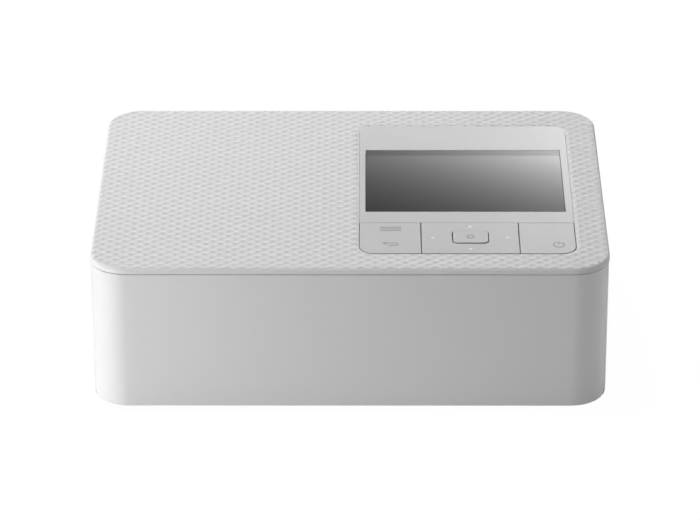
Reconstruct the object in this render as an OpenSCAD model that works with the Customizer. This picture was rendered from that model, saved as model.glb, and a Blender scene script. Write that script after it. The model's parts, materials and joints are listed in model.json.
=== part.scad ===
// Compact dye transfer photo printer. Millimetres, +Z up, front at -Y.
// Origin: middle of the footprint, on the surface that the feet stand on.

/* [Body] */
// Overall width, over the top cover
body_w = 182.2; // [181:0.1:186]
// Overall depth, over the top cover
body_d = 133; // [132:0.1:138]
// Overall height, feet included
body_h = 57.6; // [57.4:0.1:62]
// Corner radius of the top cover in plan
corner_r = 13.2; // [12:0.1:14]
// Wall thickness of the shells
wall = 2.2; // [1.8:0.1:2.4]
// Height of the feet below the base
foot_h = 2; // [1.6:0.1:2.4]
// Thickness of the base tray
base_t = 2; // [1.8:0.1:2.4]
// Height of the walls' lower edge
skirt_z = 2.6; // [2.4:0.1:3]
// Height of the raised pattern and the set key above the cover's flat
relief = 0.3; // [0.2:0.05:0.4]
// How far the top cover stands out past the walls
overhang = 0.2; // [0.1:0.05:0.4]
// Gap between neighbouring covers
cover_gap = 0.35; // [0.3:0.05:0.4]
// Radius of the rubber feet
foot_r = 5; // [4:0.1:7]

/* [Top cover] */
// Height of the top cover's rim
rim_h = 2.47; // [2.3:0.01:2.6]
// Rounding of the top cover's upper edge
edge_r = 1.05; // [0.7:0.05:1.05]
// Depth of the lip that sits inside the walls
lip_h = 3; // [2:0.1:3.4]
// Thickness of that lip
lip_t = 1.5; // [1:0.1:2]

/* [Operation panel] */
// Panel width
panel_w = 76.4; // [75:0.1:78]
// Panel length, front to back
panel_l = 106; // [104:0.1:108]
// Panel centre to the right of the middle
panel_x = 41.5; // [40:0.1:43]
// Panel centre behind the middle
panel_y = -1.4; // [-3:0.1:0]
// Corner radius of the panel
panel_r = 5.6; // [5:0.1:6.5]
// Thickness of the flange under the cover
flange_t = 1.2; // [1:0.1:1.4]
// Width of that flange past the panel's edge
flange_w = 2; // [1.5:0.1:2.4]
// Length of the key row, front to back
key_row_l = 24.3; // [23:0.1:25]
// Left divider, from the panel's left edge
divider_1 = 21.9; // [21:0.1:23]
// Right divider, from the panel's left edge
divider_2 = 56.45; // [55:0.1:58]
// Gap round each key
key_gap = 0.3; // [0.2:0.05:0.4]
// Thickness of a key's plate
key_t = 1.5; // [1.2:0.1:1.7]
// Travel of a pressed key
key_travel = 0.5; // [0.3:0.05:0.6]
// Width of the set key
ok_w = 12.4; // [11:0.1:14]
// Length of the set key, front to back
ok_l = 9.4; // [8:0.1:10]
// Window width
window_w = 71.2; // [70:0.1:72]
// Window length, front to back
window_l = 51.7; // [50:0.1:53]
// Space between the window and the key row
window_inset = 8.9; // [8:0.1:10]
// Thickness of the window
window_t = 1.2; // [1:0.1:1.4]
// Depth of the display below the panel's top
display_depth = 2.6; // [2.5:0.05:2.8]
// Thickness of the display module
display_t = 2.6; // [2.2:0.1:2.8]

/* [Covers] */
// Hinge line of the front cover, behind its outer face
hinge_in = 4.2; // [4.2:0.1:4.5]
// Radius of the hinge pins
hinge_pin_r = 0.8; // [0.7:0.05:0.9]
// Running clearance of shafts and pins
run_fit = 0.05; // [0.03:0.01:0.08]
// Distance of each front hinge from the middle
hinge_x = 62; // [55:0.5:66]
// Front edge of the side cover's opening, from the printer's middle
side_cover_front = -24; // [-24.3:0.1:-23.8]
// Length of the side cover, front to back
side_cover_l = 73; // [72.5:0.1:73.5]
// Height of the side cover
side_cover_h = 30.5; // [30:0.1:31]
// Lower edge of the side cover
side_cover_z = 19; // [18.5:0.1:19]

/* [Print engine] */
// Thickness of the engine's side plates
plate_t = 1.2; // [1:0.1:1.5]
// Width between the side plates
engine_w = 130.6; // [130:0.1:131]
// Middle of the engine, to the right of the printer's middle
engine_x = 15.3; // [15:0.1:15.6]
// Width of the paper
paper_w = 100; // [98:0.5:101]
// Height of the paper path
path_z = 20; // [19.9:0.1:20.2]
// Platen roller, behind the printer's middle
platen_y = 12; // [11.5:0.1:12.5]
// Platen roller radius
platen_r = 7; // [6.5:0.1:7.2]
// Radius of the main shafts
shaft_r = 3; // [2.6:0.1:3.2]
// Capstan roller radius
capstan_r = 4; // [3.6:0.1:4.2]
// Pinch roller radius
pinch_r = 3.2; // [2.8:0.1:3.4]
// Pick-up roller radius
pickup_r = 8; // [7:0.1:8.2]
// Gear module
gear_m = 0.6; // [0.6]
// Gear face width
gear_w = 3.5; // [3:0.1:3.8]
// Head travel, degrees
head_swing = 4; // [3:0.1:4]

/* [Ink cassette] */
// Height of the spools' axes
ink_z = 33.9; // [33.8:0.1:34]
// Distance between the spools
ink_pitch = 44; // [43.5:0.1:44.5]
// Outer radius of each trough
ink_r = 12.7; // [12.5:0.1:12.8]
// Wall of the ink cassette
ink_wall = 1.3; // [1:0.1:1.6]
// Radius of the full ribbon roll
full_roll_r = 9.5; // [8:0.1:9.8]
// Radius of the used ribbon roll
used_roll_r = 6; // [5:0.1:9]

/* [Paper bay] */
// Width of the bay
bay_w = 116; // [114:0.5:117]
// Floor of the bay
bay_z = 8.5; // [8.4:0.1:8.8]
// Wall of the guide round the bay
guide_t = 1.5; // [1.2:0.1:1.8]

/* [Cooling and boards] */
// Side of the square fan
fan_size = 25; // [24:0.5:26]
// Thickness of the fan
fan_t = 8; // [7:0.5:8]
// Fan centre to the right of the middle
fan_x = 55; // [54:0.5:57]
// Thickness of the boards
board_t = 1.6; // [1:0.1:1.8]

/* [Hidden] */
$fn = 64;

// --- Walls and levels
half_w = body_w / 2 - overhang;          // outer face of the side walls
half_d = body_d / 2 - overhang;          // outer face of the front and rear walls
wall_r = corner_r - overhang;            // their corner radius
inner_x = half_w - wall;
inner_y = half_d - wall;
corner_x = half_w - wall_r;              // centre of a corner's arc
corner_y = half_d - wall_r;
base_top_z = foot_h + base_t;
top_z = body_h - relief;                 // flat of the top cover, the panel and its keys
seam_z = body_h - rim_h;                 // underside of the top cover
wall_top_z = seam_z - cover_gap;
low_edge_r = 1.2;                        // rounding of the walls' lower edge
fit = 0.3;                               // clearance between pieces that don't touch
big = 400;

// --- Front cover's hinge and side seams
hinge_y = -half_d + hinge_in;
hinge_z = skirt_z + hinge_in;
roll_r = hinge_in;                       // curved lip round the hinge line
seam_y = hinge_y + roll_r;               // rear edge of the front cover's corners
shell_front_y = seam_y + cover_gap;
base_front_y = hinge_y + roll_r + 0.4;
frame_front_y = hinge_y + roll_r + 0.8;
frame_t = 2;

// --- Panel outline and keys
panel_left = panel_x - panel_w / 2;
panel_front = panel_y - panel_l / 2;
key_row_y = panel_front + key_row_l;     // line between the keys and the plate
window_x = panel_x - 0.2;
window_y = key_row_y + window_inset + window_l / 2;
flange_z = seam_z - flange_t;
ok_x = panel_left + (divider_1 + divider_2) / 2 + 0.1;
ok_y = panel_front + key_row_l / 2 + 0.65;
board_key_t = 1.2;
dome_h = 0.8;
dome_top_z = seam_z - 1.5;
dome_sheet_z = dome_top_z - dome_h - 0.6;
display_top_z = body_h - display_depth;
display_z = display_top_z - display_t;
holder_t = 0.8;

// --- Engine places
left_x = engine_x - engine_w / 2;        // inner face of the left plate
right_x = engine_x + engine_w / 2;       // inner face of the right plate
plate_top_z = 50;
engine_front_y = -45;
engine_rear_y = 62;
paper_x = engine_x - 3.3;                // middle of the paper
roller_l = paper_w + 12;
take_up_y = platen_y - ink_pitch / 2;
supply_y = platen_y + ink_pitch / 2;
chain_teeth = 27;
pinion_teeth = 12;
take_up_teeth = 20;
cam_teeth = 16;
head_pinion_teeth = 10;
function gear_gap(a, b) = gear_m * (a + b) / 2;
pinion_y = take_up_y + gear_gap(take_up_teeth, pinion_teeth);
chain_step = gear_gap(chain_teeth, chain_teeth);
chain_slope = 7.57;
chain_z = ink_z - gear_gap(chain_teeth, pinion_teeth);
// Place n steps along the gear train from the gear under the motor pinion
function chain_at(n) =
    [pinion_y + n * chain_step * cos(chain_slope), chain_z - n * chain_step * sin(chain_slope)];
capstan_at = chain_at(3);
pickup_at = chain_at(-2);
platen_at = [platen_y, path_z - fit - platen_r];
pinch_at = [capstan_at.x, capstan_at.y + capstan_r + fit + pinch_r];
gear_a_x = left_x - plate_t - 3.3;       // inner face of the feed train's gears
gear_b_x = gear_a_x - gear_w - 1;        // inner face of the ribbon train's gear
bracket_x = gear_b_x - gear_w - 0.5;     // inner face of the motor bracket
pivot_at = [50.5, 47.6];                 // head's pivot: behind the middle, and its height
pivot_r = 1.5;
lever_drop = 2;                          // lever's underside below the pivot
cam_r = 4.2;
cam_at = [pivot_at.x + 7.5, pivot_at.y - lever_drop - fit - cam_r];
cam_turn = 120;
head_motor_at = [cam_at.x - gear_gap(cam_teeth, head_pinion_teeth), cam_at.y];
bush_wall = 1;
small_shaft_r = 2;

// --- Paper bay
bay_rear_y = -24.5;
bay_top_z = pickup_at.y + pickup_r + 0.8;
main_board_z = bay_top_z + guide_t + 1.9;

// --- Gear teeth: each tooth or gap is half a pitch, less the backlash
tooth_play = 0.1;
function mesh_turn(a1, n1, n2, way) = way + 180 - (180 - (way - a1) * n1) / n2;
function way_of(p, q) = atan2(q.y - p.y, q.x - p.x);
function chain_turn(n) = n == 0 ? 0 :
    let (m = n > 0 ? n - 1 : n + 1)
        mesh_turn(chain_turn(m), chain_teeth, chain_teeth, way_of(chain_at(m), chain_at(n)));
turn_pinion = mesh_turn(chain_turn(0), chain_teeth, pinion_teeth, 90);
turn_take_up = mesh_turn(turn_pinion, pinion_teeth, take_up_teeth, 180);
turn_cam = 0;
turn_head_pinion = mesh_turn(turn_cam, cam_teeth, head_pinion_teeth, 180);

// --- Common shapes
module plan(w, d, r) {
    square([w, d - 2 * r], center = true);
    square([w - 2 * r, d], center = true);
    for (sx = [-1, 1], sy = [-1, 1])
        translate([sx * (w / 2 - r), sy * (d / 2 - r)]) circle(r);
}

module slab(w, d, r, z0, z1) {
    translate([0, 0, z0]) linear_extrude(z1 - z0) plan(w, d, r);
}

module quarter_round(e) intersection() {
    circle(e);
    square(e);
}

// Slab whose edge at one end is rounded to radius e: the top if up, else the bottom
module soft_slab(w, d, r, z0, z1, e, up) {
    edge_z = up ? z1 - e : z0 + e;
    slab(w, d, r, up ? z0 : edge_z, up ? edge_z : z1);
    slab(w - 2 * e, d - 2 * e, r - e, up ? edge_z : z0, up ? z1 : edge_z);
    translate([0, 0, edge_z]) mirror([0, 0, up ? 0 : 1]) {
        for (turn = [0, 180]) rotate([0, 0, turn]) {
            translate([w / 2 - r, d / 2 - e, 0]) rotate([90, 0, -90])
                linear_extrude(w - 2 * r) mirror([1, 0]) quarter_round(e);
            translate([w / 2 - e, d / 2 - r, 0]) rotate([90, 0, 0])
                linear_extrude(d - 2 * r) quarter_round(e);
        }
        for (k = [0:3])
            translate([(k == 0 || k == 3 ? 1 : -1) * (w / 2 - r), (k < 2 ? 1 : -1) * (d / 2 - r), 0])
                rotate([0, 0, 90 * k]) rotate_extrude(angle = 90) translate([r - e, 0]) quarter_round(e);
    }
}

// Box from one corner to the other
module span(a, b) {
    translate(a) cube(b - a);
}

// Puts a shape drawn in the Y-Z plane, and extruded along +X, at x and at point p
module along_x(x, p) {
    translate([x, p.x, p.y]) rotate([90, 0, 90]) children();
}

// Round bar along X from x0 to x1 through point p
module bar_x(x0, x1, p, r) {
    along_x(x0, p) cylinder(r = r, h = x1 - x0);
}

module post(p, r, z0, z1) {
    translate([p.x, p.y, z0]) cylinder(r = r, h = z1 - z0);
}

// Involute flank: half of the tooth's angle at radius r
function roll_angle(r, base_r) = r <= base_r ? 0 : tan(acos(base_r / r)) * 180 / PI - acos(base_r / r);
function half_tooth(n, r) = let (pitch_r = gear_m * n / 2, base_r = pitch_r * cos(20))
    90 / n * (1 - tooth_play) + roll_angle(pitch_r, base_r) - roll_angle(r, base_r);

module gear_plan(n, turn) {
    pitch_r = gear_m * n / 2;
    // Radii of the points on a tooth's flank, from its root to its tip
    flank = [for (height = [-1.15, -0.45, 0.15, 0.8]) pitch_r + height * gear_m];
    polygon([for (k = [0 : n - 1], side = [-1, 1], j = [0 : 3])
        let (r = flank[side < 0 ? j : 3 - j], a = turn + k * 360 / n + side * half_tooth(n, r))
            [r * cos(a), r * sin(a)]]);
}

// Gear with its inner face at x, at point p, extending towards -X
module gear(x, p, n, turn, bore_r) {
    along_x(x - gear_w, p) linear_extrude(gear_w) difference() {
        gear_plan(n, turn);
        circle(bore_r);
    }
}

// --- Outer casings
module wall_solid() soft_slab(2 * half_w, 2 * half_d, wall_r, skirt_z, wall_top_z, low_edge_r, false);
module wall_hollow(z0, z1) slab(2 * inner_x, 2 * inner_y, wall_r - wall, z0, z1);

screw_r = 1.25;
head_r = 2.3;
rear_post = [corner_x + 5.5, corner_y + 5.5];
front_post = [half_w - 7.4, frame_front_y + 3.9];
post_r = 3.6;
front_post_r = 3;
post_top_z = seam_z - lip_h - 0.2;
foot_sink = 0.8;                         // depth of the pocket that holds a foot
head_sink = 1;
flange_l = 8;
engine_screw_x = 4;                      // from each side plate's inner face
engine_screw_y = [platen_y - 23, platen_y + 16];
right_rear_y = rear_post.y - post_r - 0.5;   // rear edge of the right side plate

module both_sides(p) {
    for (s = [-1, 1]) translate([s * p.x, p.y, 0]) children();
}

module foot_places() {
    for (sx = [-1, 1], y = [-half_d + 20, half_d - 14]) translate([sx * (half_w - 20), y, 0]) children();
}

module engine_screw_places() {
    for (x = [left_x + engine_screw_x, right_x - engine_screw_x], y = engine_screw_y)
        translate([x, y, 0]) children();
}

module base_tray() color("gainsboro") difference() {
    intersection() {
        slab(2 * (inner_x - fit), 2 * (inner_y - fit), wall_r - wall - fit, foot_h, base_top_z);
        span([-big, base_front_y, -big], [big, big, big]);
    }
    foot_places() post([0, 0], foot_r, -1, foot_h + foot_sink);
    for (p = [rear_post, front_post]) both_sides(p) {
        post([0, 0], screw_r, 0, big);
        post([0, 0], head_r + 0.2, 0, foot_h + head_sink);
    }
    engine_screw_places() post([0, 0], screw_r, foot_h + 0.6, big);
}

module rubber_feet() color("dimgray") foot_places() difference() {
    post([0, 0], foot_r, 0, foot_h + foot_sink);
    translate([0, 0, -0.01]) cylinder(r = foot_r - 2, h = 0.41);
}

side_roll_r = 1.2;
side_pin_r = 0.6;
side_t = 2;
side_hinge = [half_w - side_roll_r, side_cover_front + side_cover_l];
side_cover_top = side_cover_z + side_cover_h;
side_pin_hold = 1.9;                     // length of the side pin in the wall at each end
slot_w = paper_w + 6;                    // rear paper slot
slot_h = 4.6;
slot_z = path_z - 2;
card_y = [front_post.y + front_post_r + 0.5, front_post.y + front_post_r + 24.5];
card_z = main_board_z + board_t;
card_h = 3.4;
data_y = [-44, -35];
data_h = 3.4;
inlet_x = -half_w + 20.9;
inlet_z = 15;
inlet_r = 3;
battery_x = [-30, 5];
battery_z = [28, 44];
fan_z = 36.5;                            // height of the fan's centre
side_vent = [20, 34];                    // middle of the left vents: behind the middle, and height
inlet_pin_r = 0.8;
contact_pitch = 6;                       // between the battery contacts

module row_of_slots(n, pitch) {
    for (k = [0 : n - 1]) translate([(k - (n - 1) / 2) * pitch, 0, 0]) children();
}

module body_shell() color("whitesmoke") difference() {
    union() {
        difference() {
            intersection() {
                wall_solid();
                span([-big, shell_front_y, -big], [big, big, big]);
            }
            wall_hollow(0, big);
        }
        intersection() {
            wall_solid();
            union() {
                both_sides(rear_post) post([0, 0], post_r, base_top_z, post_top_z);
                for (z = [side_cover_z - cover_gap - side_pin_hold - 1, side_cover_top + cover_gap])
                    span([inner_x - 1.2, side_hinge.y - 2.5, z],
                        [half_w - 0.1, side_hinge.y + 2.5, min(z + side_pin_hold + 1, post_top_z)]);
            }
        }
    }
    both_sides(rear_post) post([0, 0], screw_r, 0, base_top_z + 7);
    // Opening for the side cover, and the bores of its pin
    span([inner_x - 5, side_cover_front, side_cover_z - cover_gap],
        [big, side_hinge.y + side_roll_r + cover_gap, side_cover_top + cover_gap]);
    post(side_hinge, side_pin_r, side_cover_z - cover_gap - side_pin_hold,
        side_cover_top + cover_gap + side_pin_hold);
    // Card slot and data connector
    span([inner_x - 1, card_y[0] - 0.2, card_z + 0.7], [big, card_y[1] + 0.2, card_z + card_h]);
    span([inner_x - 1, data_y[0] - fit, main_board_z - data_h - 0.2],
        [big, data_y[1] + fit, main_board_z + 0.2]);
    // Paper slot, battery opening and inlet in the rear wall
    span([paper_x - slot_w / 2, inner_y - 1, slot_z], [paper_x + slot_w / 2, big, slot_z + slot_h]);
    span([battery_x[0], inner_y - 1, battery_z[0]], [battery_x[1], big, battery_z[1]]);
    translate([inlet_x, 0, inlet_z]) rotate([-90, 0, 0]) cylinder(r = inlet_r + 0.1, h = big);
    // Vents over the fan and beside the motors
    translate([fan_x, half_d, fan_z]) row_of_slots(6, 3.4)
        cube([1.6, 2 * wall + 2, fan_size - 6], center = true);
    translate([-half_w, side_vent.x, side_vent.y]) rotate([0, 0, 90]) row_of_slots(12, 4)
        cube([1.8, 2 * wall + 2, 14], center = true);
}

// --- Front cover and the frame behind it
ear_w = 3;
barrel_w = 3.3;
barrel_web = 3.2;                        // height of the web between the cover and each barrel
barrel_r = 2;
pin_end = ear_w / 2 + fit + barrel_w;    // half the length of a front hinge pin

module front_cover() color("whitesmoke") difference() {
    union() {
        difference() {
            intersection() {
                wall_solid();
                span([-big, -big, -big], [big, seam_y, big]);
            }
            wall_hollow(0, big);
            difference() {
                span([-big, hinge_y, -big], [big, big, hinge_z]);
                bar_x(-big, big, [hinge_y, hinge_z], roll_r);
            }
        }
        difference() {
            intersection() {
                bar_x(-corner_x + 1, corner_x - 1, [hinge_y, hinge_z], roll_r);
                span([-big, -inner_y - 0.2, 0], [big, hinge_y + 1.1, hinge_z - 2.2]);
            }
            bar_x(-big, big, [hinge_y, hinge_z], roll_r - 1.4);
            for (s = [-1, 1])
                span([s * hinge_x - ear_w / 2 - fit, -inner_y, 0], [s * hinge_x + ear_w / 2 + fit, big, big]);
        }
        for (s = [-1, 1], e = [-1, 1]) {
            x = s * hinge_x + e * (ear_w / 2 + fit + barrel_w / 2);
            bar_x(x - barrel_w / 2, x + barrel_w / 2, [hinge_y, hinge_z], barrel_r);
            span([x - barrel_w / 2, -inner_y - 0.2, hinge_z - barrel_web / 2],
                [x + barrel_w / 2, hinge_y, hinge_z + barrel_web / 2]);
        }
    }
    for (s = [-1, 1])
        bar_x(s * hinge_x - pin_end - 1, s * hinge_x + pin_end + 1, [hinge_y, hinge_z],
            hinge_pin_r + run_fit);
}

module hinge_pins() color("silver") {
    for (s = [-1, 1])
        bar_x(s * hinge_x - pin_end, s * hinge_x + pin_end, [hinge_y, hinge_z], hinge_pin_r);
    post(side_hinge, side_pin_r, side_cover_z - cover_gap - side_pin_hold,
        side_cover_top + cover_gap + side_pin_hold);
}

module front_frame() color("lightgray") difference() {
    union() {
        span([-half_w + 5, frame_front_y, base_top_z], [half_w - 5, frame_front_y + frame_t, post_top_z]);
        both_sides(front_post) post([0, 0], front_post_r, base_top_z, post_top_z);
        for (s = [-1, 1]) {
            bar_x(s * hinge_x - ear_w / 2, s * hinge_x + ear_w / 2, [hinge_y, hinge_z], barrel_r - 0.35);
            span([s * hinge_x - ear_w / 2, hinge_y, hinge_z - 1.2],
                [s * hinge_x + ear_w / 2, frame_front_y + 0.1, hinge_z + 1.2]);
        }
    }
    span([paper_x - bay_w / 2, -big, bay_z], [paper_x + bay_w / 2, frame_front_y + frame_t + 1, bay_top_z]);
    both_sides(front_post) post([0, 0], screw_r, 0, base_top_z + 7);
    for (s = [-1, 1])
        bar_x(s * hinge_x - pin_end, s * hinge_x + pin_end, [hinge_y, hinge_z], hinge_pin_r);
}

module side_cover() color("whitesmoke") difference() {
    union() {
        span([half_w - side_t, side_cover_front + cover_gap, side_cover_z],
            [half_w, side_hinge.y, side_cover_top]);
        post(side_hinge, side_roll_r, side_cover_z, side_cover_top);
    }
    post(side_hinge, side_pin_r + run_fit, 0, big);
    // Finger dip near the front edge
    translate([half_w + 5.2, side_cover_front + 7, (side_cover_z + side_cover_top) / 2])
        cylinder(r = 6.2, h = 12, center = true);
}

// --- Top cover and operation panel
module panel_slab(grow, z0, z1) {
    translate([panel_x, panel_y, 0]) slab(panel_w + 2 * grow, panel_l + 2 * grow, panel_r + grow, z0, z1);
}

module top_cover() color("whitesmoke") {
    difference() {
        soft_slab(body_w, body_d, corner_r, seam_z, top_z, min(edge_r, (top_z - seam_z) / 2), true);
        panel_slab(0, 0, big);
    }
    difference() {
        slab(2 * (inner_x - fit), 2 * (inner_y - fit), wall_r - wall - fit, seam_z - lip_h, seam_z);
        slab(2 * (inner_x - fit - lip_t), 2 * (inner_y - fit - lip_t), wall_r - wall - fit - lip_t, 0, big);
    }
    both_sides(rear_post) post([0, 0], post_r - 0.8, post_top_z, seam_z);
    both_sides(front_post) post([0, 0], front_post_r, post_top_z, seam_z);
}

key_opening_in = 1.2;                    // flange left under the keys' edges
key_opening_rear = key_row_y - key_opening_in;
display_w = 76.5;
display_l = 64;
gasket_w = 1.5;
window_top_z = top_z - 0.05;
window_z = window_top_z - window_t;
key_z = top_z - key_t;
key_board_in = [panel_left - 1.2, panel_front + 0.5];
key_board_right = panel_left + panel_w + 1.2;
stud_r = 1.2;
key_board_rear = key_opening_rear - 0.2;

module window_slab(w_more, l_more, z0, z1) {
    span([window_x - (window_w + w_more) / 2, window_y - (window_l + l_more) / 2, z0],
        [window_x + (window_w + w_more) / 2, window_y + (window_l + l_more) / 2, z1]);
}

module display_slab(grow, z0, z1) {
    span([window_x - display_w / 2 - grow, window_y - display_l / 2 - grow, z0],
        [window_x + display_w / 2 + grow, window_y + display_l / 2 + grow, z1]);
}

module key_board_studs() {
    for (x = [panel_left, panel_left + panel_w], y = [panel_front + 8, key_board_rear - 3])
        translate([x, y, 0]) children();
}

module panel_plate() color("whitesmoke") {
    difference() {
        union() {
            panel_slab(-fit / 2, seam_z, top_z);
            panel_slab(flange_w, flange_z, seam_z);
        }
        window_slab(0.2, 0.2, 0, big);
        window_slab(2 * gasket_w + 0.2, 2 * gasket_w + 0.2, 0, window_z);
        display_slab(fit, 0, seam_z);
        both_sides(front_post) post([0, 0], front_post_r + fit, 0, seam_z);
        // In front of the key row's line only the flange under the keys' edges stays
        span([-big, -big, seam_z], [big, key_row_y, big]);
        intersection() {
            panel_slab(-key_opening_in, 0, big);
            span([-big, -big, -big], [big, key_opening_rear, big]);
        }
    }
    key_board_studs() post([0, 0], stud_r, dome_sheet_z, flange_z + 0.1);
}

module display_window() color([0.75, 0.8, 0.85, 0.5]) window_slab(0, 0, window_z, window_top_z);

module display_gasket() color("dimgray") difference() {
    window_slab(2 * gasket_w, 2 * gasket_w, display_top_z, window_z);
    window_slab(-0.6, -0.6, 0, big);
}

module display_module() color("darkslategray") display_slab(0, display_z, display_top_z);

module display_holder() color("silver") difference() {
    display_slab(fit + holder_t, display_z - holder_t, flange_z);
    display_slab(fit, display_z, big);
    for (s = [-1, 1]) translate([window_x + s * display_w / 4, window_y, 0]) post([0, 0], 8, 0, display_z);
}

// Key plate between two edges measured from the panel's left side
module key_slab(from, to, left_gap, right_gap) {
    intersection() {
        panel_slab(-key_gap, key_z, top_z);
        span([panel_left + from + left_gap, -big, -big],
            [panel_left + to - right_gap, key_row_y - key_gap, big]);
    }
}

stem_z = dome_top_z + fit + key_travel;
menu_x = panel_left + divider_1 / 2;
power_x = panel_left + (divider_2 + panel_w) / 2;
rocker_z = seam_z - 0.2;
rocker_t = 0.5;
rocker_w = 28;
rocker_l = 18;
stem_r = 1.5;

module menu_key() color("whitesmoke") {
    key_slab(0, divider_1, 0, key_gap / 2);
    for (s = [-1, 1]) post([menu_x, ok_y + s * 5], stem_r, stem_z, key_z);
}

module nav_rocker() color("lightgray") {
    difference() {
        span([ok_x - rocker_w / 2, ok_y - rocker_l / 2, rocker_z],
            [ok_x + rocker_w / 2, ok_y + rocker_l / 2, rocker_z + rocker_t]);
        translate([ok_x, ok_y, 0]) linear_extrude(big) ok_plan(fit);
    }
    for (s = [-1, 1]) {
        post([ok_x + s * (rocker_w / 2 - 3), ok_y], stem_r, stem_z, rocker_z);
        post([ok_x, ok_y + s * (rocker_l / 2 - 2)], stem_r, stem_z, rocker_z);
    }
}

module ok_plan(grow) plan(ok_w + 2 * grow, ok_l + 2 * grow, 1.6 + grow);

module nav_key() color("whitesmoke") difference() {
    key_slab(divider_1, divider_2, key_gap / 2, key_gap / 2);
    translate([ok_x, ok_y, 0]) linear_extrude(big) ok_plan(fit);
}

module ok_key() color("whitesmoke") translate([ok_x, ok_y, 0]) {
    translate([0, 0, key_z]) linear_extrude(body_h - key_z) ok_plan(0);
    post([0, 0], stem_r, stem_z, key_z);
}

module power_key() color("whitesmoke") {
    key_slab(divider_2, panel_w, key_gap / 2, 0);
    post([power_x, ok_y], stem_r, stem_z, key_z);
}

module dome_places() {
    for (s = [-1, 1]) {
        translate([menu_x, ok_y + s * 5, 0]) children();
        translate([ok_x + s * (rocker_w / 2 - 3), ok_y, 0]) children();
        translate([ok_x, ok_y + s * (rocker_l / 2 - 2), 0]) children();
    }
    translate([ok_x, ok_y, 0]) children();
    translate([power_x, ok_y, 0]) children();
}

module key_domes() color("darkgray") {
    span([panel_left + stud_r + 1, key_board_in.y + 0.6, dome_sheet_z],
        [panel_left + panel_w - stud_r - 1, key_board_rear - 0.6, dome_sheet_z + 0.6]);
    dome_places() post([0, 0], 2.4, dome_sheet_z + 0.6, dome_top_z);
}

module key_board() color("seagreen") difference() {
    span([key_board_in.x, key_board_in.y, dome_sheet_z - board_key_t],
        [key_board_right, key_board_rear, dome_sheet_z]);
    both_sides(front_post) post([0, 0], front_post_r + fit, 0, big);
}

// --- Boards, sockets and fan
cable_x = [panel_x - 11, panel_x + 1];
cable_y = ok_y - 4;
cable_t = 0.3;
main_left = paper_x - 52;
main_right = inner_x - 0.8;
main_front = front_post.y - 0.8;
main_rear = bay_rear_y - 0.4;
card_left = main_right - 26.5;
inlet_size = [12, 13, 10];
power_z = 8;
chip_t = 1.4;

module flat_cable() color("gainsboro")
    span([cable_x[0], cable_y, main_board_z + board_t + 2],
        [cable_x[1], cable_y + cable_t, dome_sheet_z - board_key_t]);

module main_board() color("seagreen") difference() {
    union() {
        span([main_left, main_front, main_board_z], [main_right, main_rear, main_board_z + board_t]);
        span([cable_x[0] - 1.5, cable_y - 2, main_board_z + board_t - 0.1],
            [cable_x[1] + 1.5, cable_y + 2.3, main_board_z + board_t + 2]);
        for (k = [0 : 2])
            span([main_left + 8 + 21 * k, main_front + 8, main_board_z + board_t - 0.1],
                [main_left + 20 + 21 * k, main_front + 20, main_board_z + board_t + chip_t]);
    }
    both_sides(front_post) post([0, 0], front_post_r + fit, 0, big);
}

module card_socket() color("silver") difference() {
    span([card_left, card_y[0], main_board_z + board_t],
        [main_right + 0.4, card_y[1], card_z + card_h + 0.4]);
    span([card_left + 1.5, card_y[0] + 0.6, card_z + 0.8], [big, card_y[1] - 0.6, card_z + card_h - 0.2]);
}

module data_socket() color("silver") difference() {
    span([main_right - 7, data_y[0], main_board_z - data_h], [half_w - 0.6, data_y[1], main_board_z]);
    difference() {
        span([main_right - 6, data_y[0] + 0.4, main_board_z - data_h + 0.4],
            [big, data_y[1] - 0.4, main_board_z - 0.4]);
        span([main_right - 7, data_y[0] + 1.6, main_board_z - data_h / 2 - 0.35],
            [half_w - 1.4, data_y[1] - 1.6, main_board_z - data_h / 2 + 0.35]);
    }
}

module power_board() color("seagreen") {
    span([-inner_x + 2, platen_y + 8, power_z], [-inner_x + 28, corner_y - 0.5, power_z + board_t]);
    for (x = [-inner_x + 5, -inner_x + 25], y = [platen_y + 11, corner_y - 4])
        post([x, y], 2, base_top_z, power_z);
}

module dc_inlet() color("dimgray") difference() {
    union() {
        span([inlet_x - inlet_size.x / 2, inner_y - inlet_size.y, power_z + board_t],
            [inlet_x + inlet_size.x / 2, inner_y, power_z + board_t + inlet_size.z]);
        translate([inlet_x, inner_y - 1, inlet_z]) rotate([-90, 0, 0]) cylinder(r = inlet_r, h = wall + 0.6);
    }
    difference() {
        translate([inlet_x, inner_y - 9, inlet_z]) rotate([-90, 0, 0]) cylinder(r = inlet_r - 0.4, h = big);
        translate([inlet_x, inner_y - 10, inlet_z]) rotate([-90, 0, 0])
            cylinder(r = inlet_pin_r, h = 10 + wall - 0.8);
    }
}

module battery_contacts() color("dimgray") difference() {
    span([battery_x[0] + 0.1, inner_y - 5, battery_z[0] + 0.1],
        [battery_x[1] - 0.1, half_d - 0.8, battery_z[1] - 0.1]);
    for (k = [0 : 3])
        translate([(battery_x[0] + battery_x[1]) / 2 + (k - 1.5) * contact_pitch, half_d,
            (battery_z[0] + battery_z[1]) / 2])
            cube([1.2, 6, 9], center = true);
}

fan_y = inner_y - fan_t;
fan_bore_r = fan_size / 2 - 1.2;
fan_hub_r = 4.6;
fan_tip_gap = 0.5;
fan_pin_r = 1;
fan_blades = 7;
fan_wall = 1.4;                          // spoke plate that carries the rotor's pin

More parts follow.
